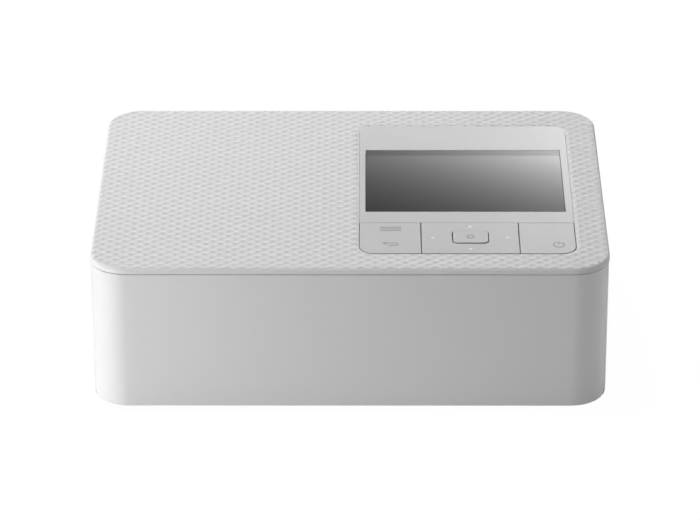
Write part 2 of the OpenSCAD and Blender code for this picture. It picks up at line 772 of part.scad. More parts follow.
module fan_frame() color("dimgray") {
    difference() {
        span([fan_x - fan_size / 2, fan_y, fan_z - fan_size / 2],
            [fan_x + fan_size / 2, inner_y, fan_z + fan_size / 2]);
        translate([fan_x, 0, fan_z]) rotate([-90, 0, 0]) cylinder(r = fan_bore_r, h = big);
    }
    translate([fan_x, 0, fan_z]) {
        for (a = [0 : 3]) rotate([0, 45 + 90 * a, 0])
            span([fan_hub_r - 1, fan_y, -1], [fan_bore_r + 0.5, fan_y + fan_wall, 1]);
        translate([0, fan_y, 0]) rotate([-90, 0, 0]) cylinder(r = fan_hub_r, h = fan_wall);
        translate([0, fan_y, 0]) rotate([-90, 0, 0]) cylinder(r = fan_pin_r, h = fan_t - 1);
    }
}

module fan_rotor() color("black") translate([fan_x, fan_y + fan_wall + fit, fan_z]) rotate([-90, 0, 0])
    difference() {
        union() {
            cylinder(r = fan_hub_r, h = fan_t - fan_wall - 2 * fit - 0.4);
            for (a = [0 : fan_blades - 1]) rotate([0, 0, a * 360 / fan_blades])
                translate([fan_hub_r - 0.5, 0, 0]) rotate([38, 0, 0]) translate([0, -0.4, 0])
                    cube([fan_bore_r - fan_tip_gap - fan_hub_r, 0.8, 5]);
        }
        translate([0, 0, -1]) cylinder(r = fan_pin_r + run_fit, h = 20);
    }

// --- Engine frame
plate_window_y = [take_up_y - ink_r - 0.8, supply_y + ink_r + 0.8];
plate_window_z = [path_z + 0.5, ink_z + ink_r + 0.8];
motor_r = 13;
head_motor_r = 6.5;
motor_l = 20;
head_motor_l = 14;
bracket_z = 20;
bracket_y = [take_up_y - 20, engine_rear_y - 3];
// Posts between the motor bracket and the left plate: behind the middle, and height
bracket_posts = [[take_up_y - 17.5, 46], [platen_y + 12, 46], [platen_y + 26, 31], [platen_y + 44.5, 26.8]];
stud_end_x = gear_a_x - gear_w - 0.4;
cam_shaft_r = 2;

// Bores of the side plates, or with past = 0 the bushes that fill them
module left_bores(r_more, past) {
    for (b = [[pickup_at, small_shaft_r], [platen_at, shaft_r], [capstan_at, small_shaft_r],
            [pinch_at, pivot_r], [[take_up_y, ink_z], small_shaft_r], [cam_at, cam_shaft_r]])
        bar_x(left_x - plate_t - 0.6, left_x + past, b[0], b[1] + r_more);
}

module right_bores(r_more, past) {
    for (b = [[platen_at, shaft_r], [capstan_at, small_shaft_r], [pinch_at, pivot_r]])
        bar_x(right_x - past, right_x + plate_t + 0.6, b[0], b[1] + r_more);
}

// Flange that stands on the base, from x0 to x1 beside the plate
module plate_flanges(x0, x1) {
    for (y = engine_screw_y)
        span([x0, y - flange_l / 2, base_top_z], [x1, y + flange_l / 2, base_top_z + plate_t]);
}

module side_plate_left() color("lightsteelblue") difference() {
    union() {
        span([left_x - plate_t, engine_front_y, base_top_z], [left_x, engine_rear_y, plate_top_z]);
        plate_flanges(left_x - 0.1, left_x + 7);
        for (n = [-1 : 2]) bar_x(stud_end_x, left_x - plate_t + 0.1, chain_at(n), small_shaft_r);
    }
    left_bores(bush_wall, 1);
    bar_x(left_x - plate_t - 1, left_x + 1, pivot_at, pivot_r);
    engine_screw_places() post([0, 0], screw_r, 0, base_top_z + plate_t + 1);
}

module side_plate_right() color("lightsteelblue") difference() {
    union() {
        span([right_x, bay_rear_y + fit, base_top_z], [right_x + plate_t, right_rear_y, plate_top_z]);
        plate_flanges(right_x - 7, right_x + 0.1);
    }
    span([0, plate_window_y[0], plate_window_z[0]], [big, plate_window_y[1], plate_window_z[1]]);
    right_bores(bush_wall, 1);
    bar_x(right_x - 1, right_x + plate_t + 1, pivot_at, pivot_r);
    engine_screw_places() post([0, 0], screw_r, 0, base_top_z + plate_t + 1);
}

module shaft_bushes() color("ivory") difference() {
    union() {
        left_bores(bush_wall, 0);
        right_bores(bush_wall, 0);
    }
    for (b = [[pickup_at, small_shaft_r], [platen_at, shaft_r], [capstan_at, small_shaft_r],
            [pinch_at, pivot_r], [[take_up_y, ink_z], small_shaft_r], [cam_at, cam_shaft_r]])
        bar_x(-big / 2, big / 2, b[0], b[1] + run_fit);
}

module head_pivot_rod() color("silver") bar_x(left_x - plate_t, right_x + plate_t, pivot_at, pivot_r);

guide_sheet_t = 1.2;
roller_x = [paper_x - roller_l / 2, paper_x + roller_l / 2];
shaft_end_x = right_x + plate_t + 0.9;

module paper_guide() color("lightgray") difference() {
    union() {
        span([left_x, bay_rear_y + 2, path_z - 0.6 - guide_sheet_t], [right_x, right_rear_y, path_z - 0.6]);
        span([paper_x - slot_w / 2, right_rear_y - 1, path_z - 0.6 - guide_sheet_t],
            [paper_x + slot_w / 2, inner_y - 1, path_z - 0.6]);
    }
    span([roller_x[0] - 1, platen_y - platen_r - 0.6, 0], [roller_x[1] + 1, platen_y + platen_r + 0.6, big]);
    span([roller_x[0] - 1, capstan_at.x - capstan_r - 0.6, 0],
        [roller_x[1] + 1, capstan_at.x + capstan_r + 0.6, big]);
}

module tray_guide() color("lightgray") {
    wide = bay_w / 2 + guide_t;
    rear_lip_z = 14;
    difference() {
        union() {
            span([paper_x - wide, frame_front_y + frame_t, base_top_z],
                [paper_x + wide, bay_rear_y, bay_top_z + guide_t]);
            for (x = [paper_x - wide + 6, paper_x + wide - 6], y = [main_front + 6, main_rear - 4])
                post([x, y], 2, bay_top_z, main_board_z);
        }
        span([paper_x - bay_w / 2, -big, bay_z], [paper_x + bay_w / 2, bay_rear_y - guide_t, bay_top_z]);
        span([paper_x - bay_w / 2, -big, rear_lip_z], [paper_x + bay_w / 2, big, bay_top_z]);
        span([paper_x - bay_w / 2, -big, -big], [paper_x + bay_w / 2, bay_rear_y - guide_t, bay_z - guide_t]);
        bar_x(-big, paper_x, pickup_at, small_shaft_r + 0.6);
        bar_x(paper_x, big, pickup_at, small_shaft_r + run_fit);
    }
}

module pickup_roller() color("dimgray") {
    bar_x(gear_a_x - gear_w, paper_x + bay_w / 2 + guide_t, pickup_at, small_shaft_r);
    for (s = [-1, 1]) difference() {
        bar_x(paper_x + s * 16 - 7, paper_x + s * 16 + 7, pickup_at, pickup_r);
        bar_x(-big, big, pickup_at, small_shaft_r);
    }
}

module platen_roller() color("dimgray") {
    bar_x(left_x - plate_t - 0.9, shaft_end_x, platen_at, shaft_r);
    bar_x(roller_x[0], roller_x[1], platen_at, platen_r);
}

module capstan_roller() color("silver") {
    bar_x(gear_a_x - gear_w, shaft_end_x, capstan_at, small_shaft_r);
    bar_x(roller_x[0], roller_x[1], capstan_at, capstan_r);
}

module pinch_roller() color("darkgray") {
    bar_x(left_x - plate_t - 0.9, shaft_end_x, pinch_at, pivot_r);
    bar_x(roller_x[0], roller_x[1], pinch_at, pinch_r);
}

// --- Gears and motors
pinion_at = [pinion_y, ink_z];
motor_face_x = bracket_x - 1.2;
motor_shaft_r = 1;

module chain_gear(n, bore_r) gear(gear_a_x, chain_at(n), chain_teeth, chain_turn(n), bore_r);

module capstan_gear() color("ivory") chain_gear(3, small_shaft_r);
module idler_gear_1() color("ivory") chain_gear(2, small_shaft_r + run_fit);
module idler_gear_2() color("ivory") chain_gear(1, small_shaft_r + run_fit);
module idler_gear_3() color("ivory") chain_gear(0, small_shaft_r + run_fit);
module idler_gear_4() color("ivory") chain_gear(-1, small_shaft_r + run_fit);
module pickup_gear() color("ivory") chain_gear(-2, small_shaft_r);

module take_up_gear() color("ivory") {
    at = [take_up_y, ink_z];
    gear(gear_b_x, at, take_up_teeth, turn_take_up, 0.5);
    bar_x(gear_b_x - gear_w, left_x + 5, at, small_shaft_r);
}

module motor_pinion() color("goldenrod") {
    along_x(gear_b_x - gear_w, pinion_at) linear_extrude(gear_a_x - gear_b_x + gear_w)
        gear_plan(pinion_teeth, turn_pinion);
    bar_x(motor_face_x - 4, gear_a_x, pinion_at, motor_shaft_r);
}

module head_pinion() color("goldenrod") {
    along_x(gear_a_x - gear_w, head_motor_at) linear_extrude(gear_w)
        gear_plan(head_pinion_teeth, turn_head_pinion);
    bar_x(motor_face_x - 4, gear_a_x, head_motor_at, motor_shaft_r);
}

module motor_bracket() color("lightsteelblue") {
    difference() {
        span([motor_face_x, bracket_y[0], bracket_z], [bracket_x, bracket_y[1], plate_top_z - 1]);
        bar_x(-big, big, pinion_at, 5);
        bar_x(-big, big, head_motor_at, 4);
    }
    for (p = bracket_posts) bar_x(bracket_x, left_x - plate_t, p, 2.2);
}

module feed_motor() color("silver") difference() {
    union() {
        bar_x(motor_face_x - motor_l, motor_face_x, pinion_at, motor_r);
        bar_x(motor_face_x - motor_l - 1.5, motor_face_x, pinion_at, 4);
    }
    bar_x(motor_face_x - 5, big, pinion_at, motor_shaft_r + run_fit);
}

module head_motor() color("silver") difference() {
    bar_x(motor_face_x - head_motor_l, motor_face_x, head_motor_at, head_motor_r);
    bar_x(motor_face_x - 5, big, head_motor_at, motor_shaft_r + run_fit);
}

// --- Print head
arm_t = 1.2;
arm_z = ink_z + ink_r + 1.8;
arm_x = [paper_x - 55, paper_x + 55];
ear_r = 2.8;
ear_t = 3;
lever_x = left_x + 0.7;
lever_t = 3;
head_z = path_z + 3.6;
head_t = 3;
head_l = 10;
sink_l = 13;
sink_base_t = 4;
fin_pitch = 5;
fin_t = 1.2;
cam_rise = (cam_at.x - pivot_at.x) * sin(head_swing);

module head_arm() color("lightsteelblue") difference() {
    union() {
        span([arm_x[0], platen_y - 7, arm_z], [arm_x[1], pivot_at.x + 3, arm_z + arm_t]);
        span([lever_x, pivot_at.x - 6.5, arm_z], [arm_x[0] + 0.1, pivot_at.x + 4.5, arm_z + arm_t]);
        for (x = [arm_x[0], arm_x[1] - ear_t]) bar_x(x, x + ear_t, pivot_at, ear_r);
        span([lever_x, pivot_at.x - 3, pivot_at.y - lever_drop],
            [lever_x + lever_t, cam_at.x + 2, arm_z + arm_t]);
    }
    bar_x(-big, big, pivot_at, pivot_r + run_fit);
    for (s = [-1, 1])
        span([paper_x + s * 27 - 22, platen_y + 12, 0], [paper_x + s * 27 + 22, pivot_at.x - 6, big]);
}

module heat_sink() color("lightgray") {
    span([arm_x[0], platen_y - sink_l / 2, head_z + head_t],
        [arm_x[1], platen_y + sink_l / 2, head_z + head_t + sink_base_t]);
    span([arm_x[0], platen_y - 1.5, head_z + head_t], [arm_x[1], platen_y + 1.5, arm_z]);
    for (k = [0 : floor((arm_x[1] - arm_x[0] - fin_t) / fin_pitch)])
        span([arm_x[0] + k * fin_pitch, platen_y - sink_l / 2, head_z + head_t],
            [arm_x[0] + k * fin_pitch + fin_t, platen_y + sink_l / 2, arm_z]);
}

module thermal_head() color("darkgoldenrod") {
    span([arm_x[0], platen_y - head_l / 2, head_z], [arm_x[1], platen_y + head_l / 2, head_z + head_t]);
    bar_x(arm_x[0] + 2, arm_x[1] - 2, [platen_y, head_z + 0.6], 0.9);
}

// Spiral whose radius grows evenly as the cam turns under the lever
function cam_radius(a) = a <= 0 ? cam_r : cam_r + cam_rise * min(a / cam_turn, 1);

module head_cam() color("ivory") {
    along_x(lever_x, cam_at) linear_extrude(lever_t)
        polygon([for (a = [-30 : 6 : 150]) cam_radius(a) * [cos(90 - a), sin(90 - a)],
            for (a = [170 : 20 : 310]) (cam_r - 0.6) * [cos(90 - a), sin(90 - a)]]);
    bar_x(stud_end_x, lever_x, cam_at, cam_shaft_r);
    gear(gear_a_x, cam_at, cam_teeth, turn_cam, 0.5);
}

// --- Ink cassette
case_left = left_x + 0.9;
case_right = inner_x - 1.2;
end_t = 1.5;
grip_t = 3.5;
journal_r = 3;
core_r = 4;
roll_x = [paper_x - paper_w / 2 - 1, paper_x + paper_w / 2 + 1];
film_t = 0.15;
film_z = path_z + 0.15;
film_flat = 9.5;

module ink_trough(y, side) difference() {
    bar_x(case_left, case_right, [y, ink_z], ink_r);
    bar_x(case_left + end_t, case_right - grip_t, [y, ink_z], ink_r - ink_wall);
    span([case_left + end_t, side > 0 ? y - 3 : y - big, 0],
        [case_right - grip_t, side > 0 ? y + big : y + 3, ink_z - 2]);
}

module ink_case() color("silver") difference() {
    union() {
        ink_trough(take_up_y, 1);
        ink_trough(supply_y, -1);
        span([case_left, take_up_y, ink_z - ink_r + 0.3], [case_left + end_t, supply_y, ink_z - ink_r + 4.5]);
        span([case_right - grip_t, take_up_y, ink_z - ink_r + 0.3], [case_right, supply_y, ink_z + 6]);
    }
    for (y = [take_up_y, supply_y]) {
        bar_x(case_left - 1, case_left + end_t + 0.1, [y, ink_z], journal_r + run_fit);
        bar_x(case_right - grip_t - 0.1, case_right - 0.8, [y, ink_z], journal_r + run_fit);
    }
}

function film_end(b, c, r, side) = let (d = c - b, off = asin(r / norm(d)))
    b + sqrt(d * d - r * r) * [cos(atan2(d.y, d.x) + side * off), sin(atan2(d.y, d.x) + side * off)];

module ink_ribbon() color("saddlebrown") {
    front = [platen_y - film_flat, film_z];
    rear = [platen_y + film_flat, film_z];
    line = [film_end(front, [take_up_y, ink_z], used_roll_r + 0.5, 1), front, rear,
        film_end(rear, [supply_y, ink_z], full_roll_r + 0.5, -1)];
    along_x(roll_x[0], [0, 0]) linear_extrude(roll_x[1] - roll_x[0])
        polygon(concat(line, [for (k = [3 : -1 : 0]) line[k] + [0, film_t]]));
}

module spool(y, roll_r) difference() {
    union() {
        bar_x(case_left + 0.2, case_right - 1.2, [y, ink_z], journal_r);
        bar_x(case_left + end_t + 0.4, case_right - grip_t - 0.4, [y, ink_z], core_r);
        bar_x(roll_x[0], roll_x[1], [y, ink_z], roll_r);
    }
    bar_x(-big, left_x + 5, [y, ink_z], small_shaft_r);
}

module supply_spool() color("goldenrod") spool(supply_y, full_roll_r);
module take_up_spool() color("goldenrod") spool(take_up_y, used_roll_r);

module screws() color("silver") {
    for (p = [rear_post, front_post]) both_sides(p) {
        post([0, 0], screw_r, foot_h + head_sink, base_top_z + 6);
        post([0, 0], head_r, foot_h + 0.1, foot_h + head_sink);
    }
    engine_screw_places() {
        post([0, 0], screw_r, foot_h + 0.7, base_top_z + plate_t);
        post([0, 0], head_r, base_top_z + plate_t, base_top_z + plate_t + 1.3);
    }
}

base_tray();
rubber_feet();
body_shell();
front_frame();
front_cover();
hinge_pins();
side_cover();
top_cover();
panel_plate();
display_window();
display_gasket();
display_module();
display_holder();
menu_key();
nav_rocker();
nav_key();
ok_key();
power_key();
key_domes();
key_board();
flat_cable();
main_board();
card_socket();
data_socket();
power_board();
dc_inlet();
battery_contacts();
fan_frame();
fan_rotor();
side_plate_left();
side_plate_right();
paper_guide();
tray_guide();
motor_bracket();
feed_motor();
motor_pinion();
capstan_gear();
idler_gear_1();
idler_gear_2();
idler_gear_3();
idler_gear_4();
pickup_gear();
take_up_gear();
pickup_roller();
platen_roller();
capstan_roller();
pinch_roller();
shaft_bushes();
head_pivot_rod();
head_arm();
heat_sink();
thermal_head();
head_cam();
head_motor();
head_pinion();
ink_case();
ink_ribbon();
supply_spool();
take_up_spool();
screws();
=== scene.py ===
"""Looks of a compact photo printer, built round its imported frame. Metres, +Z up, front at -Y."""
import json
import math

import bmesh
import bpy
from mathutils import Matrix, Vector


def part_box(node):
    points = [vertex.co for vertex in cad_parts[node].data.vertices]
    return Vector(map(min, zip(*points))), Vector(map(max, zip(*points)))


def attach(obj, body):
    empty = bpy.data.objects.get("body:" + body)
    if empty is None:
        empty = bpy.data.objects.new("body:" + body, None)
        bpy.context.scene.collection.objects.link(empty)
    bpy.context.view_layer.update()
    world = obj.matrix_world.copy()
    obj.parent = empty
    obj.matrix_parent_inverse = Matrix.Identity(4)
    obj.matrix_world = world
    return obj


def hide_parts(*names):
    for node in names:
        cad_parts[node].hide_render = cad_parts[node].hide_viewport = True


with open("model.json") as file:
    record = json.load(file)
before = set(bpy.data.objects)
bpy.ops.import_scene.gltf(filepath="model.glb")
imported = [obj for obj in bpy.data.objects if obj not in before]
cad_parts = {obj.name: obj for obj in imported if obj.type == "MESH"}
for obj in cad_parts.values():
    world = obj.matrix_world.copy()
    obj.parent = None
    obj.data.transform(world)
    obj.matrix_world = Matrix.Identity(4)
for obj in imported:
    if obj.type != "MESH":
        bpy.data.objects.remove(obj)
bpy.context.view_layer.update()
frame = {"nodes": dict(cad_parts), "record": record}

MM = 0.001
NODES = frame["nodes"]


# ---------------------------------------------------------------- Camera, stage and lamps

VIEW_TARGET = Vector((-0.137, 0, 27.273)) * MM
VIEW_DISTANCE = 1427.96 * MM
VIEW_ELEVATION = math.radians(26.7335)
VIEW_YAW = math.radians(-0.304)
VIEW_ROLL = math.radians(-0.108)
LENS = 200.89
SENSOR = 36


def make_camera():
    """Camera level with the viewing angle, far back behind a long lens."""
    flat = math.cos(VIEW_ELEVATION)
    forward = Vector((math.sin(VIEW_YAW) * flat, math.cos(VIEW_YAW) * flat, -math.sin(VIEW_ELEVATION)))
    right = Vector((math.cos(VIEW_YAW), -math.sin(VIEW_YAW), 0))
    up = right.cross(forward)
    tilted_right = math.cos(VIEW_ROLL) * right + math.sin(VIEW_ROLL) * up
    tilted_up = math.cos(VIEW_ROLL) * up - math.sin(VIEW_ROLL) * right
    data = bpy.data.cameras.new("camera")
    data.lens = LENS
    data.sensor_width = SENSOR
    data.clip_start = 0.1
    data.clip_end = 20
    camera = bpy.data.objects.new("camera", data)
    bpy.context.scene.collection.objects.link(camera)
    turned = Matrix((tilted_right, tilted_up, -forward)).transposed().to_4x4()
    camera.matrix_world = Matrix.Translation(VIEW_TARGET - forward * VIEW_DISTANCE) @ turned
    bpy.context.scene.camera = camera


# Name: place, point it looks at, width and height of its face, watts
LAMPS = {
    "top_lamp": ((-0.18, 0.00, 0.65), (-0.10, 0, 0.03), (0.3, 0.3), 2.25),
    "back_lamp": ((-0.15, 0.80, 0.45), (0, 0, 0.05), (0.4, 0.3), 2.67),
    "back_left_lamp": ((-0.45, 0.65, 0.25), (0, 0, 0.05), (0.3, 0.2), 1.91),
    "front_left_lamp": ((-0.80, -0.80, 0.80), (0, 0, 0.03), (0.5, 0.5), 0.51),
    "left_lamp": ((-0.50, -0.22, 0.03), (-0.05, -0.05, 0.03), (0.3, 0.05), 0.79),
    "near_lamp": ((-0.30, -0.30, 0.03), (-0.05, -0.05, 0.03), (0.2, 0.05), 0.41),
    "right_lamp": ((0.60, -0.10, 0.10), (0.08, -0.05, 0.03), (0.3, 0.15), 0.58),
}


def make_lamps():
    """Soft rectangular lamps that the camera doesn't see."""
    for name, (place, target, size, watts) in LAMPS.items():
        data = bpy.data.lights.new(name, "AREA")
        data.shape = "RECTANGLE"
        data.size, data.size_y = size
        data.energy = watts
        lamp = bpy.data.objects.new(name, data)
        bpy.context.scene.collection.objects.link(lamp)
        lamp.location = place
        lamp.rotation_euler = (Vector(target) - Vector(place)).to_track_quat("-Z", "Y").to_euler()
        lamp.visible_camera = False


# ---------------------------------------------------------------- Shader maths

class Signal:
    """An output socket of a material. Arithmetic on it adds Math nodes."""

    def __init__(self, paint, socket):
        self.paint = paint
        self.socket = socket

    def __add__(self, other):
        return self.paint.maths("ADD", self, other)

    def __sub__(self, other):
        return self.paint.maths("SUBTRACT", self, other)

    def __rsub__(self, other):
        return self.paint.maths("SUBTRACT", other, self)

    def __mul__(self, other):
        return self.paint.maths("MULTIPLY", self, other)

    def __truediv__(self, other):
        return self.paint.maths("DIVIDE", self, other)

    __radd__ = __add__
    __rmul__ = __mul__

    def above(self, limit):
        return self.paint.maths("GREATER_THAN", self, limit)

    def below(self, limit):
        return self.paint.maths("LESS_THAN", self, limit)

    def power(self, exponent):
        return self.paint.maths("POWER", self, exponent)

    def larger(self, other):
        return self.paint.maths("MAXIMUM", self, other)

    def smaller(self, other):
        return self.paint.maths("MINIMUM", self, other)

    def size(self):
        return self.paint.maths("ABSOLUTE", self)

    def repeat(self, pitch):
        """Distance along the signal since the last whole pitch."""
        return self.paint.maths("FLOORED_MODULO", self, pitch)


class Paint:
    """One material, with a Principled shader, and the nodes that are added to it."""

    def __init__(self, name):
        self.material = bpy.data.materials.new(name)
        self.material.use_nodes = True
        self.tree = self.material.node_tree
        self.shader = self.tree.nodes["Principled BSDF"]
        self.output = self.tree.nodes["Material Output"]
        self.place = None

    def node(self, kind, settings=None, sockets=None, out=0):
        """Adds a node, sets its settings and then its sockets, and gives one of its outputs."""
        made = self.tree.nodes.new("ShaderNode" + kind)
        for setting, value in (settings or {}).items():
            setattr(made, setting, value)
        for socket, value in (sockets or {}).items():
            self.feed(made.inputs[socket], value)
        return Signal(self, made.outputs[out])

    def feed(self, socket, value):
        if isinstance(value, Signal):
            self.tree.links.new(value.socket, socket)
        else:
            socket.default_value = value

    def maths(self, operation, *values):
        return self.node("Math", {"operation": operation}, dict(enumerate(values)))

    def finish(self, **sockets):
        """Sets sockets of the Principled shader, with _ for the spaces in their names."""
        for name, value in sockets.items():
            self.feed(self.shader.inputs[name.replace("_", " ")], value)
        return self.material

    def where(self):
        """Object coordinates, made once."""
        if self.place is None:
            self.place = self.node("TexCoord", out="Object")
        return self.place

    def axis(self, letter):
        return self.node("SeparateXYZ", sockets={0: self.where()}, out=letter)

    def noise(self, size, detail=2.0, stretch=(1, 1, 1)):
        """Soft noise from 0 to 1, whose blots are about size across."""
        vector = self.where()
        if stretch != (1, 1, 1):
            vector = self.node("Mapping", sockets={"Vector": vector, "Scale": stretch})
        return self.node("TexNoise", sockets={"Vector": vector, "Scale": 1 / size, "Detail": detail})

    def blend(self, amount, first, second):
        """Colour that goes from first to second with amount."""
        mixed = {0: amount, 6: first, 7: second}
        return self.node("Mix", {"data_type": "RGBA", "clamp_factor": True}, mixed, out=2)

    def bump(self, height, depth, under=None):
        """Normal of a surface whose height signal runs from 0 to 1 over a depth in metres."""
        sockets = {"Height": height, "Distance": depth, "Strength": 1.0}
        if under is not None:
            sockets["Normal"] = under
        return self.node("Bump", sockets=sockets)


def grey(level):
    return (level, level, level, 1)


def tint(red, green, blue):
    """Linear colour of a tone written from 0 to 255."""
    tones = (red, green, blue)
    linear = [((tone / 255 + 0.055) / 1.055) ** 2.4 if tone > 10 else tone / 3295 for tone in tones]
    return (*linear, 1)


# ---------------------------------------------------------------- Materials

def moulded(name, colour, roughness, grain=0.25 * MM, depth=0.004 * MM, drift=0.03, shine=0.5):
    """Injection-moulded plastic: an even spark-eroded grain and a slow drift in tone and gloss."""
    paint = Paint(name)
    slow = paint.noise(34 * MM, 2)
    fine = paint.noise(grain, 3)
    darker = tuple(c * (1 - drift) for c in colour[:3]) + (1,)
    return paint.finish(
        Base_Color=paint.blend(slow, darker, colour),
        Roughness=roughness + 0.08 * (fine - 0.5) + 0.05 * (slow - 0.5),
        Normal=paint.bump(fine, depth),
        Specular_IOR_Level=shine,
    )


def rubber(name, colour, roughness=0.75):
    """Dull rubber with dust in its pores."""
    paint = Paint(name)
    pores = paint.noise(0.35 * MM, 4)
    dust = paint.noise(6 * MM, 3).power(3)
    paler = tuple(c * 1.8 + 0.02 for c in colour[:3]) + (1,)
    return paint.finish(
        Base_Color=paint.blend(dust, colour, paler),
        Roughness=roughness + 0.2 * (pores - 0.5),
        Normal=paint.bump(pores, 0.03 * MM),
        Specular_IOR_Level=0.3,
    )


def plated_steel(name, colour, roughness=0.32):
    """Zinc-plated sheet: rolling lines along Y and faint cloudy crystals."""
    paint = Paint(name)
    lines = paint.noise(0.12 * MM, 2, (1, 0.02, 1))
    clouds = paint.noise(5 * MM, 3)
    darker = tuple(c * 0.78 for c in colour[:3]) + (1,)
    return paint.finish(
        Base_Color=paint.blend(clouds, darker, colour),
        Metallic=1.0,
        Roughness=roughness + 0.16 * (lines - 0.5) + 0.1 * (clouds - 0.5),
        Normal=paint.bump(lines, 0.003 * MM),
    )


def ground_steel(name, colour, roughness=0.18):
    """Ground bar: rings round an axle that lies along X."""
    paint = Paint(name)
    rings = paint.noise(0.08 * MM, 2, (1, 0.03, 0.03))
    stains = paint.noise(7 * MM, 3)
    darker = tuple(c * 0.85 for c in colour[:3]) + (1,)
    return paint.finish(
        Base_Color=paint.blend(stains, darker, colour),
        Metallic=1.0,
        Roughness=roughness + 0.14 * (rings - 0.5) + 0.06 * (stains - 0.5),
        Normal=paint.bump(rings, 0.002 * MM),
    )


def circuit_board(name):
    """Green solder mask over tracks and plated holes."""
    paint = Paint(name)
    pitch = 1.27 * MM
    track_w = 0.32 * MM
    hole_r = 0.3 * MM
    across = paint.axis("X").repeat(pitch)
    along = paint.axis("Y").repeat(pitch)
    blocks = paint.noise(4 * MM, 0)
    lanes_x = across.below(track_w) * blocks.above(0.52)
    lanes_y = along.below(track_w) * blocks.below(0.46)
    tracks = lanes_x.larger(lanes_y)
    centre = 0.79 * MM
    hole = ((across - centre).power(2) + (along - centre).power(2)).below(hole_r ** 2)
    pads = hole * paint.noise(7 * MM, 0).above(0.57)
    mask = paint.blend(tracks, tint(16, 84, 52), tint(38, 122, 78))
    return paint.finish(
        Base_Color=paint.blend(pads, mask, tint(214, 190, 120)),
        Metallic=pads,
        Roughness=0.32 + 0.1 * (paint.noise(0.5 * MM) - 0.5),
        Normal=paint.bump(tracks, 0.03 * MM),
        Coat_Weight=0.3,
    )


def striped_film(name):
    """Ribbon cable: flat conductors side by side under clear film."""
    paint = Paint(name)
    pitch = 1.0 * MM
    wire_w = 0.62 * MM
    wire = paint.axis("X").repeat(pitch).below(wire_w)
    return paint.finish(
        Base_Color=paint.blend(wire, tint(225, 225, 220), tint(176, 180, 186)),
        Roughness=0.3 + 0.05 * (paint.noise(2 * MM) - 0.5),
        Normal=paint.bump(wire, 0.03 * MM),
    )


def finned_aluminium(name):
    """Extruded aluminium with die lines along X."""
    paint = Paint(name)
    lines = paint.noise(0.1 * MM, 2, (0.02, 1, 1))
    bloom = paint.noise(9 * MM, 2)
    return paint.finish(
        Base_Color=paint.blend(bloom, tint(176, 178, 182), tint(202, 204, 207)),
        Metallic=1.0,
        Roughness=0.38 + 0.2 * (lines - 0.5),
        Normal=paint.bump(lines, 0.004 * MM),
    )


def glazed_ceramic(name):
    """Glazed ceramic strip of the print head, with its heater line over a brown glaze."""
    paint = Paint(name)
    low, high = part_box("thermal_head")
    half_line = 0.9 * MM
    heater = (paint.axis("Y") - (low.y + high.y) / 2).size().below(half_line)
    marbling = paint.noise(3 * MM, 3)
    glaze = paint.blend(marbling, tint(120, 84, 46), tint(150, 108, 62))
    return paint.finish(
        Base_Color=paint.blend(heater, glaze, tint(60, 42, 30)),
        Roughness=0.14 + 0.1 * marbling,
        Coat_Weight=0.5,
        Normal=paint.bump(marbling, 0.01 * MM),
    )


def dye_film(name):
    """Dye film in its printing panels, one after the other along the roll."""
    paint = Paint(name)
    panel_l = 15 * MM
    turn = paint.axis("Y").repeat(3 * panel_l)
    yellow_or_magenta = paint.blend(turn.above(panel_l), tint(214, 176, 40), tint(150, 30, 84))
    panels = paint.blend(turn.above(2 * panel_l), yellow_or_magenta, tint(28, 92, 140))
    wrinkles = paint.noise(2.5 * MM, 2, (0.15, 1, 1))
    return paint.finish(
        Base_Color=panels,
        Roughness=0.22 + 0.12 * (wrinkles - 0.5),
        Coat_Weight=0.4,
        Normal=paint.bump(wrinkles, 0.05 * MM),
    )


def dye_roll(name, axle):
    """Film wound on a spool: thin dark layers, seen as rings at its ends."""
    paint = Paint(name)
    across = paint.axis("Y") - axle.y
    upward = paint.axis("Z") - axle.z
    radius = (across * across + upward * upward).power(0.5)
    film_t = 0.3 * MM
    core_r = 4.3 * MM
    layer = radius.repeat(film_t) / film_t
    core = radius.below(core_r)
    film = paint.blend(layer, tint(66, 34, 40), tint(96, 50, 54))
    return paint.finish(
        Base_Color=paint.blend(core, film, tint(228, 226, 218)),
        Roughness=0.3 + 0.1 * (paint.noise(1.5 * MM, 2, (0.1, 1, 1)) - 0.5),
        Normal=paint.bump(layer, 0.02 * MM),
    )


def display_glass(name):
    """Smoked window: glossy and a little see-through, with painted shade along its back edge: a darker band
    with a thinner coat, standing in for the shadow of the recess wall.
    """
    paint = Paint(name)
    # Painted shade: the strip along the back edge is darker and less coated, for the recess wall's shadow and
    # its weaker reflection.
    shade_band_l = 4.6 * MM
    painted_shade_band = paint.axis("Y").above(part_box("display_window")[1].y - shade_band_l)
    haze = paint.noise(12 * MM, 2)
    return paint.finish(
        Base_Color=paint.blend(painted_shade_band, tint(26, 27, 29), tint(14, 14, 15)),
        Specular_IOR_Level=0.0,
        Roughness=0.4 + 0.05 * haze,
        Coat_Weight=1 - painted_shade_band * 0.2,
        Coat_Roughness=0.03,
        Coat_IOR=1.6,
        Alpha=0.9 + 0.03 * haze,
    )


def display_face(name):
    """Display that is switched off: a dark polariser with a satin face round a fine pixel grid."""
    paint = Paint(name)
    dot = 0.18 * MM
    line = 0.03 * MM
    grid = paint.axis("X").repeat(dot).below(line).larger(paint.axis("Y").repeat(dot).below(line))
    low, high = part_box("display_window")
    middle = (low + high) / 2
    reach = (high - low) / 2
    margin = 1.6 * MM
    beyond_x = (paint.axis("X") - middle.x).size().above(reach.x - margin)
    beyond_y = (paint.axis("Y") - middle.y).size().above(reach.y - margin)
    border = beyond_x.larger(beyond_y)
    pixels = paint.blend(grid * 0.5, tint(58, 60, 62), tint(40, 41, 44))
    return paint.finish(
        Base_Color=paint.blend(border, pixels, tint(52, 53, 55)),
        Roughness=0.24 + 0.05 * (paint.noise(20 * MM) - 0.5),
        Metallic=0.0,
        Coat_Weight=0.6,
        Coat_Roughness=0.12,
        IOR=1.6,
    )


